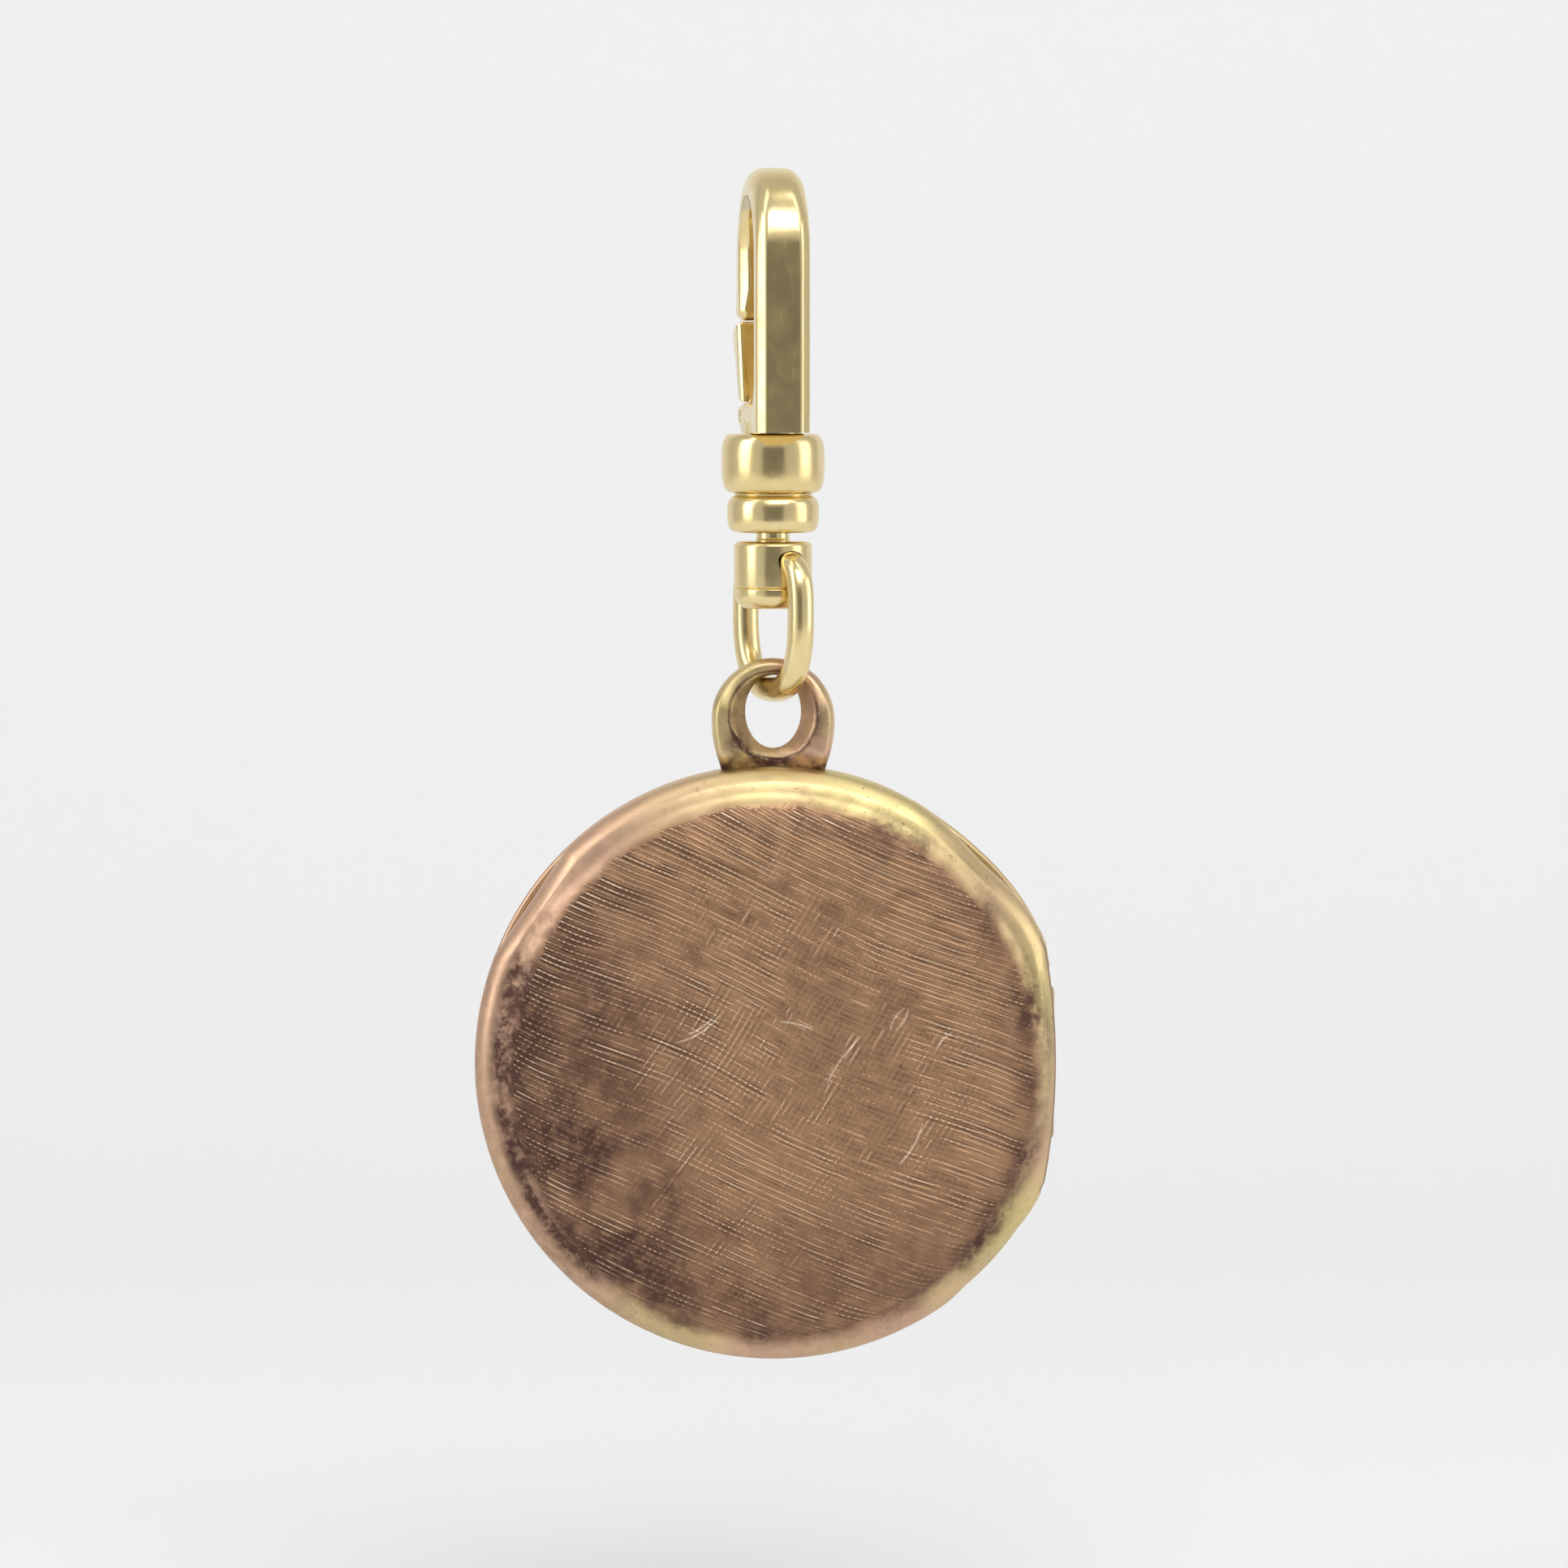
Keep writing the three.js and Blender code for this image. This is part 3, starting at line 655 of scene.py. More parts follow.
def dented(radius, angle, dents):
    for middle, reach, depth in dents:
        radius -= depth * hump(0, reach, angle_apart(angle, middle))
    return radius


def back_outline(angle):
    """Radius of the back case's edge at an angle in degrees, with its notch, flats and dents."""
    radius = LOCKET_RADIUS
    from_notch = angle_apart(angle, NOTCH_ANGLE)
    if from_notch < 30:
        radius = min(radius, NOTCH_FLAT / cos(radians(from_notch)))
    return dented(hinge_side(angle, radius), angle, BACK_DENTS)


def lid_outline(angle):
    """The lid's edge, nearly round; its hinge side is cut back afterwards."""
    return dented(hinge_side(angle, LOCKET_RADIUS), angle, LID_DENTS)


def hatch_phases(u, v, x, z):
    """Counts of the main and the crossing lines at a point, bending a little as hand work does."""
    bend = 0.16 * sin(0.33 * u + 0.9) + 0.10 * sin(0.21 * v + 0.37 * u)
    bend += 0.12 * cloud(x, z, 0, 6.0, 3.1)
    main = (v + bend) / HATCH_PITCH
    w = -x * sin(CROSS_TURN) + z * cos(CROSS_TURN)
    along = x * cos(CROSS_TURN) + z * sin(CROSS_TURN)
    bent = w + 0.22 * sin(0.25 * along + 2.0) + 0.15 * cloud(x, z, 0, 5.0, 8.4)
    return main, bent / (HATCH_PITCH * 1.05)


def field_ellipse(x, z):
    """Distance in from the edge of the cut field, in millimetres."""
    px = (x - FIELD_MIDDLE[0]) / FIELD_HALF_WIDTH
    pz = (z - FIELD_MIDDLE[1]) / FIELD_HALF_HEIGHT
    return (1 - hypot(px, pz)) * FIELD_REACH


def outside_point(x, z, outline):
    """Where a point of the pillow lands: moved with the field's shift and squeezed into the outline."""
    radius = hypot(x, z)
    angle = math.degrees(atan2(z, x))
    squeeze = 1 - (1 - outline(angle) / LOCKET_RADIUS) * ease(0.90, 0.985, radius / LOCKET_RADIUS)
    shift = FIELD_SHIFT * (1 - ease(11.8, 14.2, radius))
    return x * squeeze + shift.x, z * squeeze + shift.y


def disc_grid(across, along, radius):
    """Rows of points over a disc, finer one way, and the loop of point numbers round its edge."""
    points = []
    for row in range(across + 1):
        b = 2 * row / across - 1
        for column in range(along + 1):
            a = 2 * column / along - 1
            points.append((radius * a * sqrt(1 - b * b / 2), radius * b * sqrt(1 - a * a / 2)))
    width = along + 1
    edge = [column for column in range(along)]
    edge += [row * width + along for row in range(across)]
    edge += [across * width + column for column in range(along, 0, -1)]
    edge += [row * width for row in range(across, 0, -1)]
    faces = []
    for row in range(across):
        for column in range(along):
            first = row * width + column
            faces.append((first, first + 1, first + width + 1, first + width))
    return points, edge, faces


# dark patches of the covers, partly tarnish and partly painted shade to the left and bottom: middle,
# narrowing across and up, reach, strength
TARNISH_AND_SHADE_SPOTS = [
    (-9.3, -6.2, 1.0, 1.0, 8.5, 1.45), (-10.8, 1.5, 1.0, 0.5, 4.5, 1.05),
    (-3.5, -11.0, 0.7, 1.0, 7.0, 0.85), (-7.0, 8.6, 1.0, 1.0, 4.5, 0.35),
]


def wear_and_shade(x, z):
    """Vertex masks of the outside: rim, green gold, tarnish together with painted shade (darker to the left,
    to the bottom and in the rim's valley), and the field's cut strength.
    """
    radius = hypot(x, z)
    angle = math.degrees(atan2(z, x))
    inside = field_ellipse(x, z) + 0.13 * cloud(x, z, 0, 1.2, 5.5)
    field = ease(-0.25, 0.55, inside)
    rim = 1 - ease(-0.35, 0.25, inside)
    on_face = 1 - ease(13.1, 13.6, radius)
    top_right = hump(0, 62, angle_apart(angle, 72))
    right = hump(0, 48, angle_apart(angle, 12))
    low_right = hump(0, 30, angle_apart(angle, 322))
    bottom = 0.55 * hump(0, 26, angle_apart(angle, 248))
    green = clamp(max(0.9 * top_right, 0.8 * right, low_right, bottom) + 0.35 * cloud(x, z, 0, 3.0, 1.7))
    ring_dirt = hump(0.2, 1.5, inside) * (0.45 + 0.5 * clamp(0.5 + cloud(x, z, 0, 4.0, 2.2)))
    ring_dirt *= 1 - 0.75 * hump(0, 45, angle_apart(angle, 112))
    # dark patches, partly tarnish and partly painted shade
    spots = max(
        strength * hump(0, reach, hypot((x - at_x) * narrow, (z - at_z) * flat))
        for at_x, at_z, narrow, flat, reach, strength in TARNISH_AND_SHADE_SPOTS
    )
    right_band = hump(0, 1.2, abs(inside - 0.25)) * hump(0, 70, angle_apart(angle, 10)) * 0.75
    patchy = 0.55 + 0.9 * cloud(x, z, 0, 2.4, 6.6) + 0.4 * cloud(x, z, 0, 0.9, 4.1)
    # painted shade: the covers darken towards the left and the bottom
    side_shade = 0.76 * ease(-1.5, -9.5, x) * ease(10.0, 3.0, z) + 0.50 * ease(-4.0, -11.5, z)
    tarnish_and_shade = spots * clamp(patchy, 0, 1.3)
    tarnish_and_shade = max(tarnish_and_shade, side_shade * clamp(patchy + 0.35)) * (0.35 + 0.65 * on_face)
    tarnish_and_shade = clamp(max(tarnish_and_shade, ring_dirt * clamp(patchy + 0.2), right_band * clamp(patchy + 0.35)))
    # painted shade in the valley between bead and pillow, and on the shoulder at the left
    valley_shade = hump(13.8, 0.60, radius) * clamp(0.12 + hump(0, 70, angle_apart(angle, VALLEY_ANGLE)))
    shoulder = 0.42 * hump(13.1, 0.9, radius) * hump(0, 70, angle_apart(angle, 178))
    tarnish_and_shade = clamp(tarnish_and_shade + (0.95 * valley_shade + shoulder) * clamp(0.8 + cloud(x, z, 0, 2.0, 9.9)))
    return rim, green, tarnish_and_shade, field


def cut_strengths(x, z):
    """How deep the two sets of lines are at a point: both fade in worn patches."""
    worn_middle = hump(0, 7.0, hypot(x - 3.2, (z - 2.0) * 0.8)) * 0.5
    patches = 0.35 * cloud(x, z, 0, 3.0, 7.7) + 0.40 * cloud(x, z, 0, 1.1, 2.7)
    angle = math.degrees(atan2(z, x))
    ragged = ease(3.2, 0.8, field_ellipse(x, z)) * hump(0, 95, angle_apart(angle, 160))
    main = clamp(0.80 + patches - worn_middle, 0.2, 1.0) + 0.75 * ragged
    middle = hump(0, 8.0, hypot(x + 3.0, z - 1.5))
    patches = 0.45 * cloud(x, z, 0, 2.6, 11.3) + 0.4 * cloud(x, z, 0, 1.2, 5.3)
    cross = clamp(0.30 + patches + 0.25 * middle - 0.5 * ease(9, 12.5, hypot(x, z)), 0.05, 0.62)
    return main, cross


def case_half(name, side, outline):
    """One half as a closed shell: hatched pillow, bead, lip and plain inside.

    side is -1 for the back case, towards -Y, and +1 for the lid.
    """
    grid, edge, faces = disc_grid(GRID_ACROSS, GRID_ALONG, FIELD_GRID_RADIUS)
    cos_turn, sin_turn = cos(HATCH_TURN), sin(HATCH_TURN)
    vertices = []
    masks = {key: [] for key in ("rim", "green", "tarnish_and_shade", "field", "phase_a", "phase_b", "cut_a", "cut_b")}

    def record(x, z, u, v):
        values = wear_and_shade(x, z)
        for key, value in zip(("rim", "green", "tarnish_and_shade", "field"), values):
            masks[key].append(value)
        phase_main, phase_cross = hatch_phases(u, v, x, z)
        main, cross = cut_strengths(x, z)
        lines = (phase_main + PHASE_START, phase_cross + PHASE_START, main, cross)
        for key, value in zip(("phase_a", "phase_b", "cut_a", "cut_b"), lines):
            masks[key].append(value)
        return values[3], phase_main, main

    for u, v in grid:
        x, z = u * cos_turn - v * sin_turn, u * sin_turn + v * cos_turn
        shown_x, shown_z = outside_point(x, z, outline)
        field, phase, strength = record(shown_x, shown_z, u, v)
        line = 1 - abs(2 * (phase - math.floor(phase)) - 1)
        depth = pillow_depth(hypot(x, z)) + 0.012 * cloud(x, z, 0, 3.0) * field
        depth += HATCH_RELIEF * (line - 0.5) * strength * field
        vertices.append((shown_x, side * depth, shown_z))

    previous = edge
    spots = [grid[number] for number in edge]
    angles = [atan2(v, u) + HATCH_TURN for u, v in spots]
    steps = [(r, pillow_depth(r)) for r in np.linspace(FIELD_GRID_RADIUS + 0.09, WALL_END, 15)]
    steps += PILLOW[OUTWARD_POINTS - 1:] + INSIDE
    valley_at = VALLEY_ANGLE if side < 0 else 180 - VALLEY_ANGLE
    for number, (radius, depth) in enumerate(steps):
        inner = number >= len(steps) - len(INSIDE)
        current = []
        for angle in angles:
            x, z = radius * cos(angle), radius * sin(angle)
            if inner and radius > 13.6:
                keep = outline(math.degrees(angle)) / LOCKET_RADIUS
                x, z = x * keep, z * keep
            elif not inner:
                x, z = outside_point(x, z, outline)
            dent = 0.03 * max(0.0, cloud(x, z, side, 3.5, 2.9)) * ease(13.2, 13.9, radius)
            dented = depth * (1 - dent) if depth > 0.3 else depth
            if not inner:
                filled = 1 - hump(0, 75, angle_apart(math.degrees(angle), valley_at))
                dented += VALLEY_FILL * filled * hump(14.0, 0.55, radius)
            current.append(len(vertices))
            vertices.append((x, side * dented, z))
            record(x, z, *(radius * cos(angle - HATCH_TURN), radius * sin(angle - HATCH_TURN)))
            if inner:
                for key, value in INSIDE_WEAR.items():
                    masks[key][-1] = value
        count = len(current)
        for index in range(count):
            beside = (index + 1) % count
            faces.append((previous[index], previous[beside], current[beside], current[index]))
        previous = current
    faces.append(tuple(previous))
    lifted = [(x, y, z + LOCKET_Z) for x, y, z in vertices]
    piece = new_piece(name, lifted, faces, [HATCHED])
    for key, values in masks.items():
        layer = piece.data.attributes.new(key, "FLOAT", "POINT")
        layer.data.foreach_set("value", values)
    with editing(piece) as mesh:
        bmesh.ops.recalc_face_normals(mesh, faces=mesh.faces)
    return piece


def hinge_cuts(piece, side, half_length, passage_depth):
    """Cuts the seat of the hinge tubes, and the room that the other half needs to swing past."""
    reach = HINGE_HALF + 0.1
    deep = sorted((-0.5 * side, side * passage_depth))
    low = (HINGE_WALL_X, deep[0], LOCKET_Z - half_length)
    high = (BEYOND_RIM, deep[1], LOCKET_Z + half_length)
    carve(piece, box_cutter(low, high))
    seat = [(HINGE.x, 0, LOCKET_Z + way * reach) for way in (-1, 1)]
    carve(piece, rod_cutter(KNUCKLE + 0.04, *seat))


# side (-1 towards -Y), edge, half length and depth of the cut beside the hinge
HALVES = {
    "back_case": ("case", -1, back_outline, 6.8, 0.92),
    "front_lid": ("lid", 1, lid_outline, 4.8, 4.0),
}
for node, (body, side, outline, half_length, passage_depth) in HALVES.items():
    half = case_half(node + "_hatched", side, outline)
    hinge_cuts(half, side, half_length, passage_depth)
    settle(half, body, "worn_gold", [node])

# ---- hinge, snap rim and what is inside


def hinge_knuckle(node):
    extent = Extent(node)
    low, high, radius = extent.low.z, extent.high.z, KNUCKLE
    bore = Extent("hinge_pin").size.x / 2 + 0.03
    first, last = node.endswith("_1"), node.endswith("_5")
    low_round, high_round = (0.34 if first else 0.06), (0.34 if last else 0.06)
    profile = tube_profile(bore, low, high, radius, low_round, high_round)
    piece = turned_piece(node + "_tube", profile, [WORN_AND_SHADE], 48, (extent.centre.x, extent.centre.y))
    body = "lid" if node.startswith("lid") else "case"
    paint_masks(piece, rim=1.0, green=0.75, tarnish_and_shade=0.18)
    settle(piece, body, "worn_gold", [node])


def paint_masks(piece, rim, green, tarnish_and_shade, patch=0.35):
    """Fills the worn gold's masks on a piece that isn't a cover, with a little variation."""
    layers = {key: piece.data.attributes.new(key, "FLOAT", "POINT") for key in ("rim", "green", "tarnish_and_shade")}
    for vertex in piece.data.vertices:
        x, y, z = vertex.co
        layers["rim"].data[vertex.index].value = rim
        layers["green"].data[vertex.index].value = clamp(green + patch * cloud(x, y, z, 1.3, 3.3))
        layers["tarnish_and_shade"].data[vertex.index].value = clamp(tarnish_and_shade + patch * cloud(x, y, z, 0.9, 7.1))


for node in ("back_knuckle_1", "lid_knuckle_2", "back_knuckle_3", "lid_knuckle_4", "back_knuckle_5"):
    hinge_knuckle(node)


pin_box = Extent("hinge_pin")
pin_profile = rod_profile(pin_box.low.z, pin_box.high.z, pin_box.size.x / 2, 0.12)
pin_middle = (pin_box.centre.x, pin_box.centre.y)
turned_part("hinge_pin", "rod", "case", "inner_gold", pin_profile, SATIN, 32, pin_middle)


def locket_ring(name, profile, material, chord_x, segments=240):
    """Ring turned about the locket's Y axis from (radius, y) points, cut flat by the hinge."""
    rings = [
        [(radius * cos(angle), y, LOCKET_Z + radius * sin(angle)) for angle in full_turn(segments)]
        for radius, y in profile
    ]
    piece = skin(name, rings, [material], closed_path=True)
    if chord_x < profile[0][0] + 0.5:
        carve(piece, box_cutter((chord_x, -4, LOCKET_Z - 20), (20, 4, LOCKET_Z + 20)))
    return piece


def snap_rim():
    extent = Extent("snap_rim")
    outer = extent.size.z / 2 - 0.02
    low, high = extent.low.y, extent.high.y
    profile = rounded_profile([
        (outer - 0.30, low, 0), (outer, low, 0.03), (outer, high - 0.22, 0.1),
        (outer - 0.12, high, 0.08), (outer - 0.30, high, 0.08), (outer - 0.36, low, 0),
    ], 4)
    piece = locket_ring("snap_rim_strip", profile, SATIN, extent.high.x)
    settle(piece, "case", "inner_gold", ["snap_rim"])


snap_rim()


def frame_and_card(prefix, body):
    """The ring, window and card of one half, in the places of their CAD nodes."""
    ring_box = Extent(prefix + "_frame")
    side = 1 if ring_box.centre.y > 0 else -1
    face, back = sorted((abs(ring_box.low.y), abs(ring_box.high.y)))
    outer = ring_box.size.z / 2 - 0.01
    width = 2.0
    section = [
        (outer - width, back - 0.14, 0), (outer - 0.3, back, 0.05), (outer, back, 0.06),
        (outer, face + 0.16, 0.1), (outer - 0.45, face, 0.2), (outer - 1.1, face + 0.10, 0.15),
        (outer - 1.45, face + 0.02, 0.1), (outer - width + 0.1, face + 0.14, 0.08),
    ]
    profile = [(radius, side * depth) for radius, depth in rounded_profile(section, 5)]
    ring = locket_ring(prefix + "_frame_ring", profile, SATIN, ring_box.high.x)
    settle(ring, body, "inner_gold", [prefix + "_frame"])
    for kind, material, slot in (("window", CLEAR, "celluloid"), ("photo_card", CARD, "card")):
        node = prefix + "_" + kind
        extent = Extent(node)
        radius, low, high = extent.size.z / 2, extent.low.y, extent.high.y
        disc = rod_profile(low, high, radius, 0.05, 3)
        piece = turned_piece(node + "_disc", disc, [material], 160)
        piece.data.transform(Matrix.Rotation(-pi / 2, 4, "X"))
        piece.data.transform(Matrix.Translation((0, 0, LOCKET_Z)))
        settle(piece, body, slot, [node])


frame_and_card("back", "case")
frame_and_card("lid", "lid")

# ---- bail and jump ring

bail_box = Extent("bail")
ring_box = Extent("jump_ring")
RING_AXIS, RING_TOP = joint_place("ring_swing")
RING_BOTTOM = joint_place("locket_swing")[1]
BAIL_RADIUS = bail_box.size.x / 2
BAIL_Z = bail_box.high.z - BAIL_RADIUS
WIRE = ring_box.high.z - RING_TOP.z
BAIL_HOLE = (0.42, 1.36, 1.80)  # height of the middle, half width, half height
BAIL_MOUTH = (0.22, 2.22, 2.25)  # edge of the bevel round the hole
BAIL_CLEARANCE = 0.08  # between the bail and the edge of the lid
RING_WIDEST = -20.4
RING_HALF_WIDTH = 2.85
RING_TOP_SQUARENESS = 3.4
WIRE_SQUARENESS = 2.5
RING_BOTTOM_SQUARENESS = 2.5


def ellipse_reach(angle, centre_z, width, height):
    """Distance from the bail's middle to an off-centre ellipse, along an angle."""
    dx, dz = cos(angle), sin(angle)
    a = (dx / width) ** 2 + (dz / height) ** 2
    b = -2 * dz * centre_z / height ** 2
    c = (centre_z / height) ** 2 - 1
    return (-b + sqrt(b * b - 4 * a * c)) / (2 * a)


def rounded_loop(points, radius, steps):
    """Closed polyline with every corner rounded."""
    result = []
    count = len(points)
    for index in range(count):
        before, here, after = (Vector(points[(index + offset) % count]) for offset in (-1, 0, 1))
        reach = min(radius, 0.45 * (before - here).length, 0.45 * (after - here).length)
        result += corner_arc(before, here, after, reach, steps)
    return result


def bail():
    rings = []
    for angle in full_turn(144):
        degrees = math.degrees(angle)
        hole = ellipse_reach(angle, *BAIL_HOLE)
        mouth = ellipse_reach(angle, *BAIL_MOUTH)
        mouth += 0.16 * cloud(2 * cos(angle), 2 * sin(angle), 0, 0.9, 2.6)
        solder = 0.10 * (hump(0, 10, angle_apart(degrees, 312)) + hump(0, 10, angle_apart(degrees, 228)))
        outer = BAIL_RADIUS * (1 - 0.008 * cloud(cos(angle), sin(angle), 0, 0.7, 4.4))
        down = max(0.0, -sin(angle))
        if down > 0:
            flank = ellipse_reach(angle, 0, outer, 4.5)
            outer = (flank ** -14 + (2.9 / down) ** -14) ** (-1 / 14)
        outer += solder
        depth = 1.17 - 0.50 * ease(0.15, 1.0, sin(angle)) - 0.40 * ease(0.62, 0.95, down)
        section = [
            (hole, 0.0), (mouth - 0.12, -depth * 0.76), (mouth, -depth * 0.80), (mouth + 0.08, -depth),
            (outer - 0.26, -depth * 0.96), (outer - 0.04, -depth * 0.60), (outer, 0.0),
            (outer - 0.04, depth * 0.60), (outer - 0.26, depth * 0.96), (mouth + 0.08, depth),
            (mouth, depth * 0.80), (mouth - 0.12, depth * 0.76),
        ]
        ring = []
        for radius, y in rounded_loop(section, 0.10, 3):
            x, z = radius * cos(angle), BAIL_Z + radius * sin(angle)
            from_middle = hypot(x, z - LOCKET_Z)
            if y > -0.06 and from_middle < LOCKET_RADIUS + BAIL_CLEARANCE:
                grow = (LOCKET_RADIUS + BAIL_CLEARANCE) / from_middle
                x, z = x * grow, LOCKET_Z + (z - LOCKET_Z) * grow
            if y < 0:
                y *= 0.45 + 0.55 * ease(14.9, 15.8, from_middle)
            ring.append((x, y, z))
        rings.append(ring)
    piece = skin("bail_ring", rings, [WORN_AND_SHADE], closed_path=True)
    paint_masks(piece, rim=1.0, green=0.45, tarnish_and_shade=0.10, patch=0.55)
    dirt_and_shade_layer = piece.data.attributes["tarnish_and_shade"]
    greenish = piece.data.attributes["green"]
    for vertex in piece.data.vertices:
        x, y, z = vertex.co
        spot = ellipse_reach(atan2(z - BAIL_Z, x), *BAIL_MOUTH)
        radius = hypot(x, z - BAIL_Z)
        # painted shade: darker in the crease round the mouth, at the foot where the bail meets the case, and
        # in the channel on the left
        crease = hump(0, 0.22, abs(radius - spot)) * 0.6
        foot = 0.9 * (1 - ease(0.05, 0.55, hypot(x, z - LOCKET_Z) - LOCKET_RADIUS))
        left = ease(0.6, -1.2, x)
        groove = 0.55 * left * hump(1.9, 0.5, radius)
        dirt_and_shade_layer.data[vertex.index].value = clamp(dirt_and_shade_layer.data[vertex.index].value + crease + foot + groove)
        greenish.data[vertex.index].value = clamp(greenish.data[vertex.index].value + 0.55 * left - 0.25)
    settle(piece, "case", "worn_gold", ["bail"])


bail()


def jump_ring():
    normal = RING_AXIS.cross(Vector((0, 0, 1))).normalized()

    def at(turn):
        cosine, sine = cos(turn), sin(turn)
        power = 2 / (RING_TOP_SQUARENESS if sine > 0 else RING_BOTTOM_SQUARENESS)
        half_height = RING_TOP.z - RING_WIDEST if sine > 0 else RING_WIDEST - RING_BOTTOM.z
        u = RING_HALF_WIDTH * copysign(abs(cosine) ** power, cosine)
        v = half_height * copysign(abs(sine) ** power, sine)
        return RING_AXIS * u + Vector((0, 0, RING_WIDEST + v))

    rings = []
    for turn in spaced_turns(at, 180):
        centre = at(turn)
        along = (at(turn + 0.002) - at(turn - 0.002)).normalized()
        outward = along.cross(normal)
        ring = []
        for angle in full_turn(28):
            cosine, sine = cos(angle), sin(angle)
            squared = abs(cosine) ** WIRE_SQUARENESS + abs(sine) ** WIRE_SQUARENESS
            squared **= -1 / WIRE_SQUARENESS
            offset = outward * (cosine * squared) + normal * (sine * squared)
            ring.append(centre + offset * (WIRE - 0.02) * 0.985)
        rings.append(ring)
    piece = skin("jump_ring_wire", rings, [GOLD], closed_path=True)
    settle(piece, "ring", "polished_gold", ["jump_ring"])


def spaced_turns(at, count, fine=4000):
    """Parameter values that divide a closed curve into equal lengths."""
    samples = [2 * pi * index / fine for index in range(fine + 1)]
    points = [at(turn) for turn in samples]
    lengths = [0.0]
    for before, after in zip(points, points[1:]):
        lengths.append(lengths[-1] + (after - before).length)
    targets = np.linspace(0, lengths[-1], count, endpoint=False)
    return list(np.interp(targets, lengths, samples))


jump_ring()

# ---- collars, swivel and eye

upper_box = Extent("upper_collar")
lower_box = Extent("lower_collar")
eye_box = Extent("eye_drum")
post_box = Extent("swivel_post")
STEM_BORE = 1.53
SWIVEL_NECK = 0.81
BARREL_SQUARENESS = 3.1
COLLAR_BULGE = 0.62
WASHER_BORE = 0.85


def barrel(low, high, radius, shoulder, steps=48):
    """Smooth bulging side of a collar, as (radius, z) points from its bottom up."""
    points = []
    for step in range(steps + 1):
        angle = pi * (step / steps - 0.5)
        out = cos(angle) ** (2 / BARREL_SQUARENESS)
        up = copysign(abs(sin(angle)) ** (2 / BARREL_SQUARENESS), angle)
        points.append((radius - shoulder * (1 - out), (low + high) / 2 + up * (high - low) / 2))
    return points


def upper_collar():
    low, high, radius = upper_box.low.z, upper_box.high.z, upper_box.size.x / 2
    side = barrel(low, high - 0.02, radius, COLLAR_BULGE)
    profile = [(STEM_BORE, low), *side, (STEM_BORE, high - 0.02), (STEM_BORE, low)]
    turned_part("upper_collar", "barrel", "clasp", "polished_gold", profile, GOLD)


def lower_collar():
    low, high, radius = lower_box.low.z, lower_box.high.z, lower_box.size.x / 2
    top = upper_box.low.z - 0.15
    neck = SWIVEL_NECK + 0.05
    floor = Extent("swivel_washer").low.z - 0.02
    profile = [(neck, low)] + barrel(low, top, radius, COLLAR_BULGE)
    profile += [(1.95, top + 0.01), (1.93, high), (STEM_BORE, high), (STEM_BORE, floor), (neck, floor)]
    profile.append(profile[0])
    turned_part("lower_collar", "cup", "clasp", "polished_gold", profile, GOLD)


def swivel():
    head, low, high = post_box.size.x / 2, post_box.low.z, post_box.high.z
    neck = SWIVEL_NECK
    head_low = Extent("swivel_washer").high.z + 0.03
    profile = rounded_profile([
        (0, low - 0.2, 0), (neck + 0.15, low - 0.2, 0.0), (neck + 0.02, low + 0.12, 0.08),
        (neck, head_low, 0.02), (head, head_low, 0.05), (head, high - 0.12, 0.1), (head - 0.25, high, 0.1),
        (0, high, 0),
    ])
    turned_part("swivel_post", "turned", "swivel", "polished_gold", profile, GOLD, 64)
    washer = Extent("swivel_washer")
    radius, low, high = washer.size.x / 2, washer.low.z, washer.high.z
    profile = tube_profile(WASHER_BORE, low, high, radius, 0.04, 0.04, 3)
    turned_part("swivel_washer", "ring", "clasp", "spring_steel", profile, STEEL, 64)


def sharpen(piece, degrees):
    """Marks edges steeper than the given angle as sharp."""
    with editing(piece) as mesh:
        for edge in mesh.edges:
            edge.smooth = len(edge.link_faces) == 2 and edge.calc_face_angle(0) < radians(degrees)


def eye_drum():
    low, high, radius = eye_box.low.z, eye_box.high.z, eye_box.size.x / 2
    seam = low + 1.03
    profile = rounded_profile([
        (0, low, 0), (radius - 0.42, low, 0.25), (radius - 0.06, low + 0.42, 0.25),
        (radius - 0.05, seam - 0.06, 0.03), (radius - 0.13, seam, 0.02), (radius, seam + 0.06, 0.03),
        (radius, high - 0.16, 0.1), (radius - 0.18, high, 0.12), (0, high, 0),
    ], 6)
    drum = turned_piece("eye_drum_turned", profile, [GOLD], 128)
    wire = WIRE + 0.01
    rings = []
    for step in range(33):
        along = -2.4 + 4.8 * step / 32
        flare = 0.26 * ease(0.7, 2.0, abs(along))
        part = (abs(along) / RING_HALF_WIDTH) ** RING_TOP_SQUARENESS
        sag = 0.85 * (RING_TOP.z - RING_WIDEST) * (1 - (1 - part) ** (1 / RING_TOP_SQUARENESS))
        ring = []
        for angle in full_turn(48):
            across, up = cos(angle), sin(angle)
            drop = flare if up < 0 else -sag
            centre = RING_TOP + RING_AXIS * along
            side = RING_AXIS.cross(Vector((0, 0, 1)))
            ring.append(centre + side * across * (wire + 0.15 * flare) + Vector((0, 0, up * (wire + drop))))
        rings.append(ring)
    carve(drum, skin("cutter", rings, [], smooth=False))
    sharpen(drum, 40)
    settle(drum, "swivel", "polished_gold", ["eye_drum"])


upper_collar()
lower_collar()
swivel()
eye_drum()

# ---- hook, gate, pin and spring
# Worked out in the hook's own plane: w across the bar, s from spine to nose, z up.

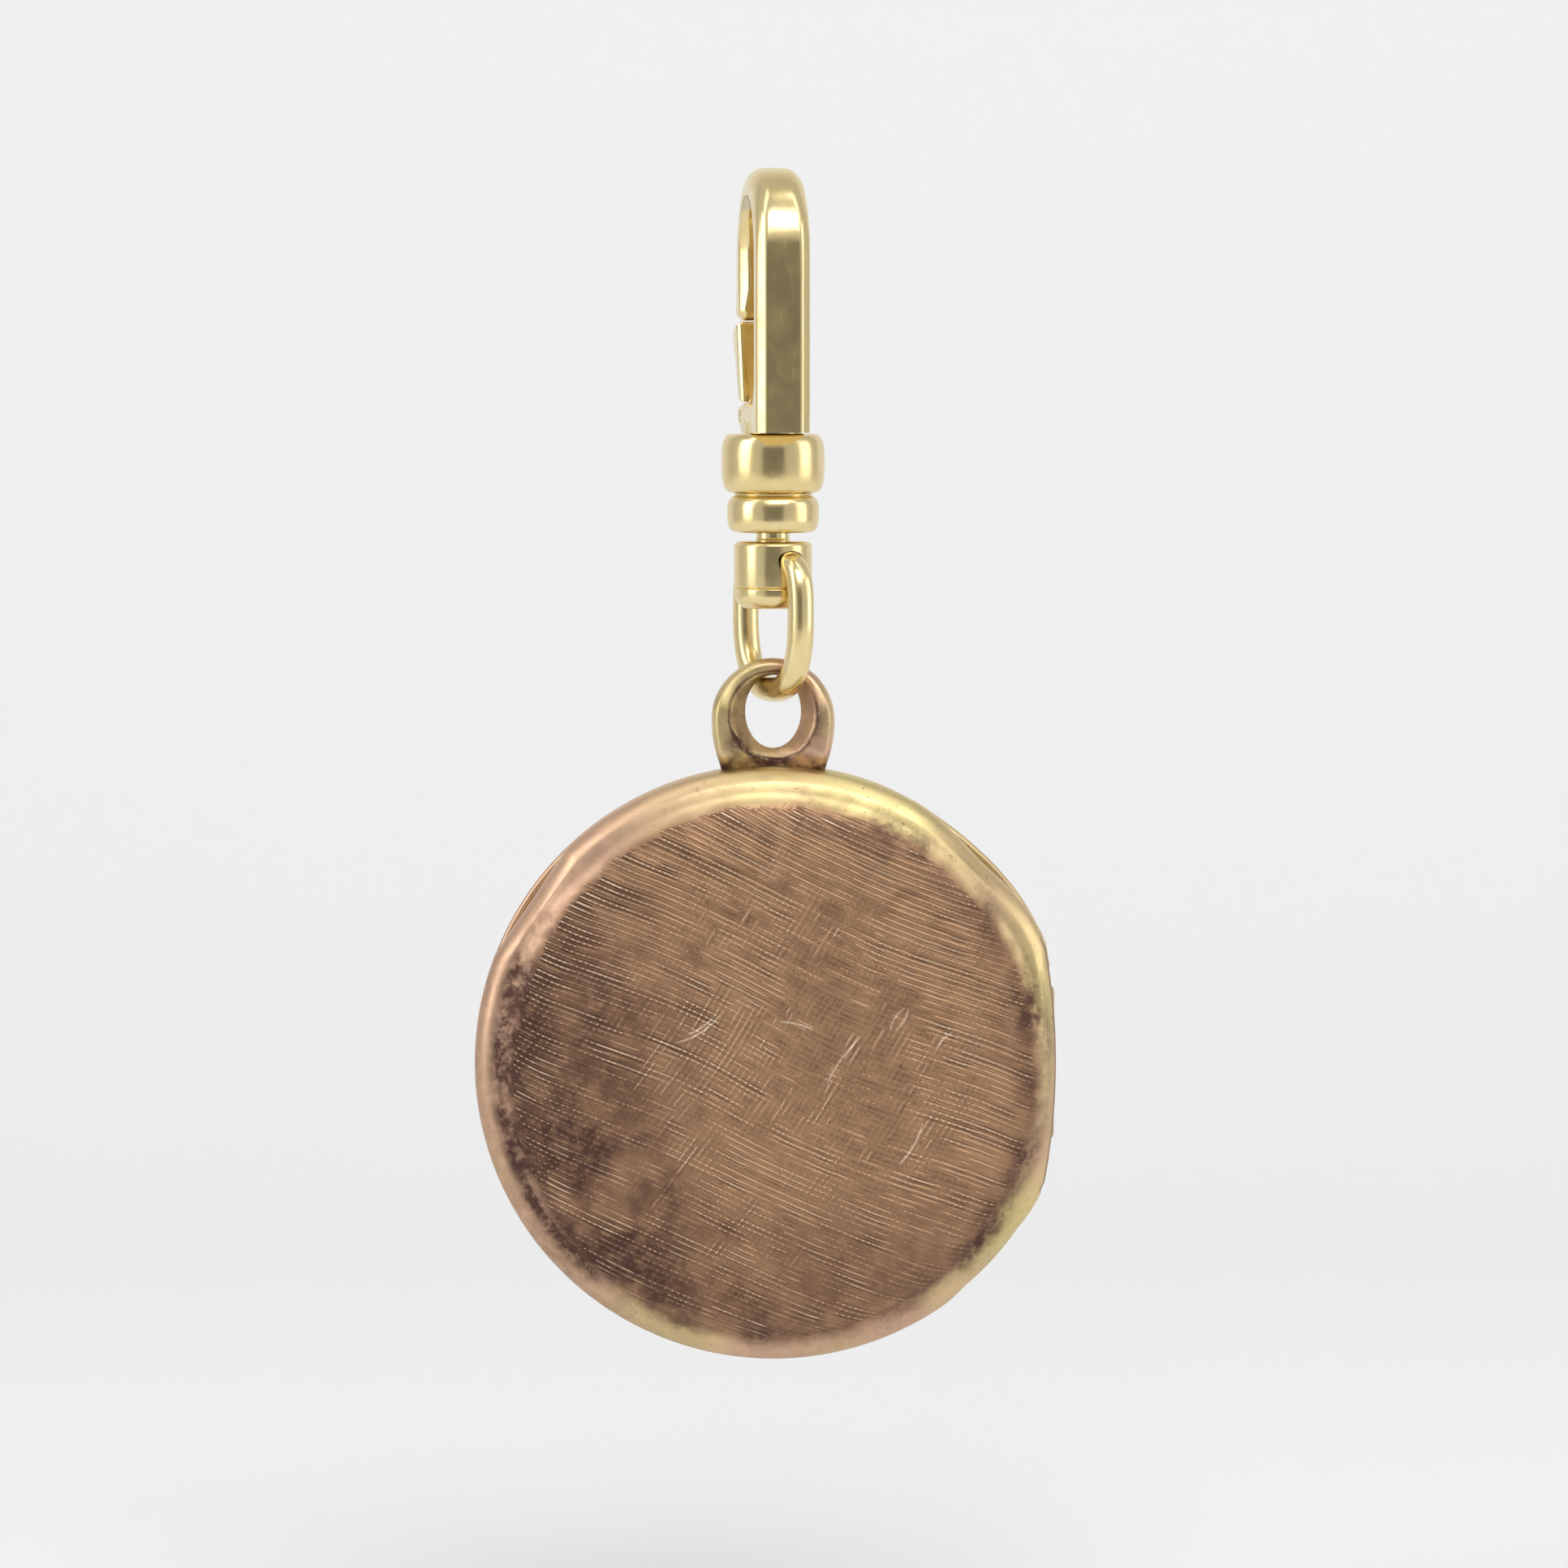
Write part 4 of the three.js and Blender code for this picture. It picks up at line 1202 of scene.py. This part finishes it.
GATE_AXIS, GATE_HINGE = joint_place("gate_hinge")
HOOK_TURN = atan2(GATE_AXIS.y, GATE_AXIS.x)
HOOK_INNER = 2.35
HOOK_BAR = 1.75
HOOK_OUTER = HOOK_INNER + HOOK_BAR
HOOK_HALF = 1.35
NOSE_END = -5.78
BASE_TOP = -9.9
BASE_HALF = 2.3
BEND_Z = -HOOK_INNER
GATE_SWING = 4.72  # from the gate's pin to its rounded tip
GATE_EYE = (-0.88, 0.14)  # w of the gate's eye round the pin, beside the spring
SPRING_WIRE = 0.098
STEM_RADIUS = 1.47
STEM_LOW = -14.87
STEM_HIGH = -10.9
HINGE_S = -GATE_HINGE.x * sin(HOOK_TURN) + GATE_HINGE.y * cos(HOOK_TURN)
HINGE_Z = GATE_HINGE.z
COLLAR_TOP = upper_box.high.z


def bezier(points, steps):
    """Points of a quadratic or cubic curve, without its first point."""
    result = []
    for step in range(1, steps + 1):
        t = step / steps
        layer = [Vector(point) for point in points]
        while len(layer) > 1:
            layer = [a.lerp(b, t) for a, b in zip(layer, layer[1:])]
        result.append(tuple(layer[0]))
    return result


def arc(centre_s, centre_z, radius, start, end, steps):
    result = []
    for step in range(steps + 1):
        angle = radians(start + (end - start) * step / steps)
        result.append((centre_s + radius * cos(angle), centre_z + radius * sin(angle)))
    return result


def straight(start, end, steps):
    return bezier([start, end], steps)


def hook_outline():
    low = COLLAR_TOP + 0.03
    points = [(-HOOK_OUTER + 0.06, low - 0.9)]
    points += straight((-HOOK_OUTER + 0.06, low - 0.9), (-HOOK_OUTER, -10.2), 2)
    points += straight((-HOOK_OUTER, -10.2), (-HOOK_OUTER, BEND_Z), 6)[:-1]
    points += arc(0, BEND_Z, HOOK_OUTER, 180, 0, 96)
    points += straight((HOOK_OUTER, BEND_Z), (HOOK_OUTER, NOSE_END + 0.75), 3)
    nose = [(HOOK_OUTER, NOSE_END + 0.7), (HOOK_OUTER, NOSE_END), (HOOK_OUTER - 0.7, NOSE_END)]
    points += bezier(nose, 10)
    points += straight((HOOK_OUTER - 0.7, NOSE_END), (HOOK_INNER + 0.6, NOSE_END), 2)
    points += bezier([(HOOK_INNER + 0.6, NOSE_END), (HOOK_INNER, NOSE_END), (HOOK_INNER, NOSE_END + 0.6)], 8)
    points += straight((HOOK_INNER, NOSE_END + 0.6), (HOOK_INNER, BEND_Z), 3)[:-1]
    points += arc(0, BEND_Z, HOOK_INNER, 0, 180, 72)
    points += straight((-HOOK_INNER, BEND_Z), (-HOOK_INNER, -8.5), 6)
    points += bezier([(-HOOK_INNER, -8.5), (-HOOK_INNER, BASE_TOP), (-1, BASE_TOP)], 16)
    points += straight((-1, BASE_TOP), (2.9, BASE_TOP), 3)
    points += bezier([(2.9, BASE_TOP), (3.5, BASE_TOP), (3.5, -10.5)], 12)
    points += bezier([(3.5, -10.5), (3.4, -11.2), (BASE_HALF, low)], 12)
    points.append((BASE_HALF, low - 0.9))
    return points


def inset(outline, distances):
    """Moves each point of an outline inwards by its own distance, corners mitred."""
    count = len(outline)
    area = sum(a[0] * b[1] - b[0] * a[1] for a, b in zip(outline, outline[1:] + outline[:1]))
    turn = 1 if area > 0 else -1
    result = []
    for index in range(count):
        before, here, after = (Vector(outline[(index + offset) % count]) for offset in (-1, 0, 1))
        first = (here - before).normalized()
        second = (after - here).normalized()
        normal_a = Vector((-first.y, first.x)) * turn
        normal_b = Vector((-second.y, second.x)) * turn
        middle = (normal_a + normal_b).normalized()
        result.append(here + middle * (distances[index] / max(middle.dot(normal_a), 0.5)))
    return result


def plate(name, outline, near, far, bevel, edge, hold=0.08, rounding=None):
    """Bar cut from an outline in (s, z): flat faces, chamfered edges, softly rounded corners.

    rounding gives, for an outline point, how far its edge goes from chamfered (0) to a round
    twice as wide (1), and how large the chamfer is there.
    """
    chamfered = rounded_profile([
        (0, bevel + edge + hold + 0.02, 0), (0, bevel, edge), (bevel, 0, edge), (bevel + edge + hold, 0, 0),
    ], 5)
    widest = 2.0
    rounded = [(depth * widest, offset * widest) for depth, offset in chamfered]
    for index in range(1, len(rounded) - 1):
        turn = pi / 2 * (index - 1) / (len(rounded) - 3)
        rounded[index] = (widest * bevel * (1 - cos(turn)), widest * bevel * (1 - sin(turn)))
    shares = [rounding(point) if rounding else (0.0, 1.0) for point in outline]
    rings = []
    for face, way, steps in ((near, 1, range(len(rounded))), (far, -1, range(len(rounded) - 1, -1, -1))):
        for step in steps:
            plain_depth, plain_offset = chamfered[step]
            round_depth, round_offset = rounded[step]
            more_offset, more_depth = round_offset - plain_offset, round_depth - plain_depth
            offsets = [size * (plain_offset + more_offset * share) for share, size in shares]
            depths = [size * (plain_depth + more_depth * share) for share, size in shares]
            rings.append([
                (face + way * depth, s, z) for depth, (s, z) in zip(depths, inset(outline, offsets))
            ])
    piece = skin(name, rings, [GOLD])
    with editing(piece) as mesh:
        caps = [face for face in mesh.faces if len(face.verts) > 4]
        bmesh.ops.triangulate(mesh, faces=caps, ngon_method="EAR_CLIP")
    return piece


def to_hook(piece):
    """Turns a piece from the hook's own axes into place."""
    piece.data.transform(Matrix.Rotation(HOOK_TURN, 4, "Z"))
    return piece


def cross_rod(radius, s, z, near, far, segments=48):
    return rod_cutter(radius, (near, s, z), (far, s, z), segments)


def hook_body():
    def rounding(point):
        outside = hypot(point[0], point[1] - BEND_Z) > HOOK_INNER + 0.5 * HOOK_BAR
        share = ease(BEND_Z - 0.9, BEND_Z + 3.6, point[1])
        near_ears = ease(-9.0, -10.2, point[1]) if point[0] > 1 else 0.0
        near_nose = 1 - ease(0.6, 1.6, abs(point[1] - NOSE_END)) if point[0] > 1 else 0.0
        size = 1 - 0.45 * near_ears - 0.40 * near_nose
        if outside:
            return share, size
        return 0.0, (1 - 0.5 * share) * size

    piece = plate("hook_body_bent", hook_outline(), -HOOK_HALF, HOOK_HALF, 0.45, 0.12, rounding=rounding)
    carve(piece, box_cutter((-3, -5, COLLAR_TOP - 3), (3, 5, COLLAR_TOP + 0.03)))
    side = [(0, STEM_LOW), (STEM_RADIUS, STEM_LOW), (STEM_RADIUS, STEM_HIGH), (0, STEM_HIGH)]
    stem = turned_piece("stem", side, [GOLD], 64)
    carve(piece, stem, "UNION")
    carve(piece, box_cutter((-0.95, 1.3, COLLAR_TOP + 0.2), (0.95, 4.6, -9.0)))
    carve(piece, cross_rod(0.31, HINGE_S, HINGE_Z, -2, 2))
    sharpen(piece, 33)
    to_hook(piece)
    settle(piece, "clasp", "polished_gold", ["hook_body"])


def gate():
    blade = [(2.42, -9.84), (3.46, -9.84)]
    blade += bezier([(3.46, -9.84), (3.62, -9.6), (3.68, -8.8), (3.83, -7.5)], 10)
    blade += bezier([(3.83, -7.5), (3.92, -6.95), (4.27, -6.85), (4.25, -6.6)], 10)
    blade += bezier([(4.25, -6.6), (4.22, -6.3), (4.0, -6.17)], 8)
    top = []
    for s in (3.9, 3.6, 3.3, 3.0, 2.75, 2.6):
        top.append((s, HINGE_Z + sqrt(GATE_SWING ** 2 - (s - HINGE_S) ** 2)))
    blade += top
    blade += bezier([top[-1], (2.42, top[-1][1] + 0.02), (2.42, top[-1][1] - 0.14)], 4)
    piece = plate("gate_lever", blade, -1.29, 1.29, 0.16, 0.06, hold=0.04)
    for vertex in piece.data.vertices:
        vertex.co.x *= 1 + 0.15 * ease(0, 1, (vertex.co.z + 8.9) / 2.0)
    shank_outline = [(HINGE_S - 0.45, HINGE_Z), (HINGE_S + 0.66, HINGE_Z), (3.3, -9.2), (2.72, -9.2)]
    shank = plate("shank", shank_outline, *GATE_EYE, 0.05, 0.02, hold=0.02)
    carve(piece, shank, "UNION")
    carve(piece, cross_rod(0.66, HINGE_S, HINGE_Z, *GATE_EYE), "UNION")
    carve(piece, cross_rod(0.33, HINGE_S, HINGE_Z, -2, 2))
    sharpen(piece, 33)
    to_hook(piece)
    settle(piece, "gate", "polished_gold", ["gate"])


def gate_pin():
    reach = HOOK_HALF - 0.03
    profile = rod_profile(-reach, reach, 0.3, 0.1)
    piece = turned_piece("gate_pin_rod", profile, [STEEL], 40)
    piece.data.transform(Matrix.Rotation(pi / 2, 4, "Y"))
    piece.data.transform(Matrix.Translation((0, HINGE_S, HINGE_Z)))
    to_hook(piece)
    settle(piece, "clasp", "spring_steel", ["gate_pin"])


def gate_spring():
    """Close coils round the pin between two straight tails, one under the gate."""
    radius, turns, start, pitch, up_tail, down_tail = 0.46, 2, 0.33, 0.23, 0.45, 0.5
    coil = 2 * pi * radius * turns
    centres = []
    for step in range(121):
        along = -up_tail + (up_tail + coil + down_tail) * step / 120
        wound = clamp(along, 0, coil) / coil
        angle = 2 * pi * turns * wound
        past = along if along < 0 else max(along - coil, 0)
        centres.append(Vector((
            start + pitch * turns * wound, HINGE_S - radius * cos(angle),
            HINGE_Z - radius * sin(angle) - past,
        )))
    rings = []
    for index, centre in enumerate(centres):
        along = (centres[min(index + 1, 120)] - centres[max(index - 1, 0)]).normalized()
        side = along.cross(Vector((1, 0, 0))).normalized()
        other = along.cross(side)
        rings.append([
            centre + SPRING_WIRE * (side * cos(t) + other * sin(t)) for t in full_turn(14)
        ])
    piece = skin("gate_spring_coil", rings, [STEEL])
    to_hook(piece)
    settle(piece, "clasp", "spring_steel", ["gate_spring"])


hook_body()
gate()
gate_pin()
gate_spring()

# ---- stage, lights and camera

FRAME_CENTRE = Vector((0.55, 0.0, -28.96)) * MM
FRAME_HEIGHT = 78.6 * MM
LENS = 120.0
SENSOR = 36.0
CAMERA_RISE = radians(4)
CARD_Y = -0.34
SOFT_WHITE = (1.0, 0.99, 0.97)
FILL_WHITE = (1.0, 0.99, 0.98)


def backdrop():
    """Pale floor well below the part that sweeps up into a wall behind it."""
    floor_z, wall_y, bend = -0.075, 0.30, 0.16
    profile = [(-0.9, floor_z), (wall_y - bend, floor_z)]
    for step in range(1, 17):
        angle = pi / 2 * step / 16
        profile.append((wall_y - bend + bend * sin(angle), floor_z + bend * (1 - cos(angle))))
    profile.append((wall_y, 0.7))
    vertices = [(x, y, z) for x in (-0.9, 0.9) for y, z in profile]
    count = len(profile)
    faces = [(i, i + 1, count + i + 1, count + i) for i in range(count - 1)]
    piece = new_piece("backdrop", vertices, faces, [BACKDROP])


def plain(name, colour, roughness=0.9):
    s = Shader(name)
    return s.finish(Base_Color=colour, Roughness=roughness)


def area_light(name, place, size, power, colour):
    """Rectangular light aimed at the middle of the part."""
    light = bpy.data.lights.new(name, "AREA")
    light.shape = "RECTANGLE"
    light.size, light.size_y = size
    light.energy = power
    light.color = colour
    lamp = bpy.data.objects.new(name, light)
    scene.collection.objects.link(lamp)
    lamp.location = place
    lamp.rotation_euler = (FRAME_CENTRE - Vector(place)).to_track_quat("-Z", "Y").to_euler()


def card(name, left, right, low, high, material):
    """Flat upright card in front that only reflections see."""
    corners = [(left, CARD_Y, low), (right, CARD_Y, low), (right, CARD_Y, high), (left, CARD_Y, high)]
    piece = new_piece(name, corners, [(0, 1, 2, 3)], [material], smooth=False)
    piece.visible_camera = False
    piece.visible_shadow = False


def camera():
    data = bpy.data.cameras.new("view")
    data.lens = LENS
    data.sensor_width = SENSOR
    data.dof.use_dof = False
    distance = FRAME_HEIGHT * LENS / SENSOR
    view = bpy.data.objects.new("view", data)
    scene.collection.objects.link(view)
    back_off = Vector((0, -cos(CAMERA_RISE), sin(CAMERA_RISE)))
    view.location = FRAME_CENTRE + back_off * distance
    view.rotation_euler = (FRAME_CENTRE - view.location).to_track_quat("-Z", "Y").to_euler()
    scene.camera = view


BACKDROP = plain("backdrop_paper", (0.84, 0.843, 0.85))
GREY = plain("grey_card", (0.19, 0.18, 0.17))
BLACK = plain("black_card", (0.12, 0.11, 0.10))
backdrop()
camera()

world = bpy.data.worlds.new("studio")
scene.world = world
world.use_nodes = True
world.node_tree.nodes["Background"].inputs["Color"].default_value = (1.0, 1.0, 1.0, 1)
world.node_tree.nodes["Background"].inputs["Strength"].default_value = 0.60
card("dark_front", -0.15, 0.17, -0.07, 0.09, GREY)
card("dark_low", -0.22, 0.24, -0.30, -0.07, BLACK)

# name, place, width and height, power and colour of each light, in metres and watts
LIGHTS = [
    ("key", (0.09, -0.345, 0.32), (0.44, 0.24), 1.0, SOFT_WHITE),
    ("top_left", (-0.17, -0.10, 0.30), (0.08, 0.34), 0.13, SOFT_WHITE),
    ("top_right", (0.19, -0.10, 0.30), (0.08, 0.34), 0.13, SOFT_WHITE),
    ("side", (-0.42, -0.18, 0.12), (0.22, 0.34), 0.55, SOFT_WHITE),
    ("fill", (0.48, -0.10, 0.02), (0.24, 0.44), 0.5, FILL_WHITE),
]
for settings in LIGHTS:
    area_light(*settings)
scene.view_settings.view_transform = "Standard"
scene.view_settings.look = "None"
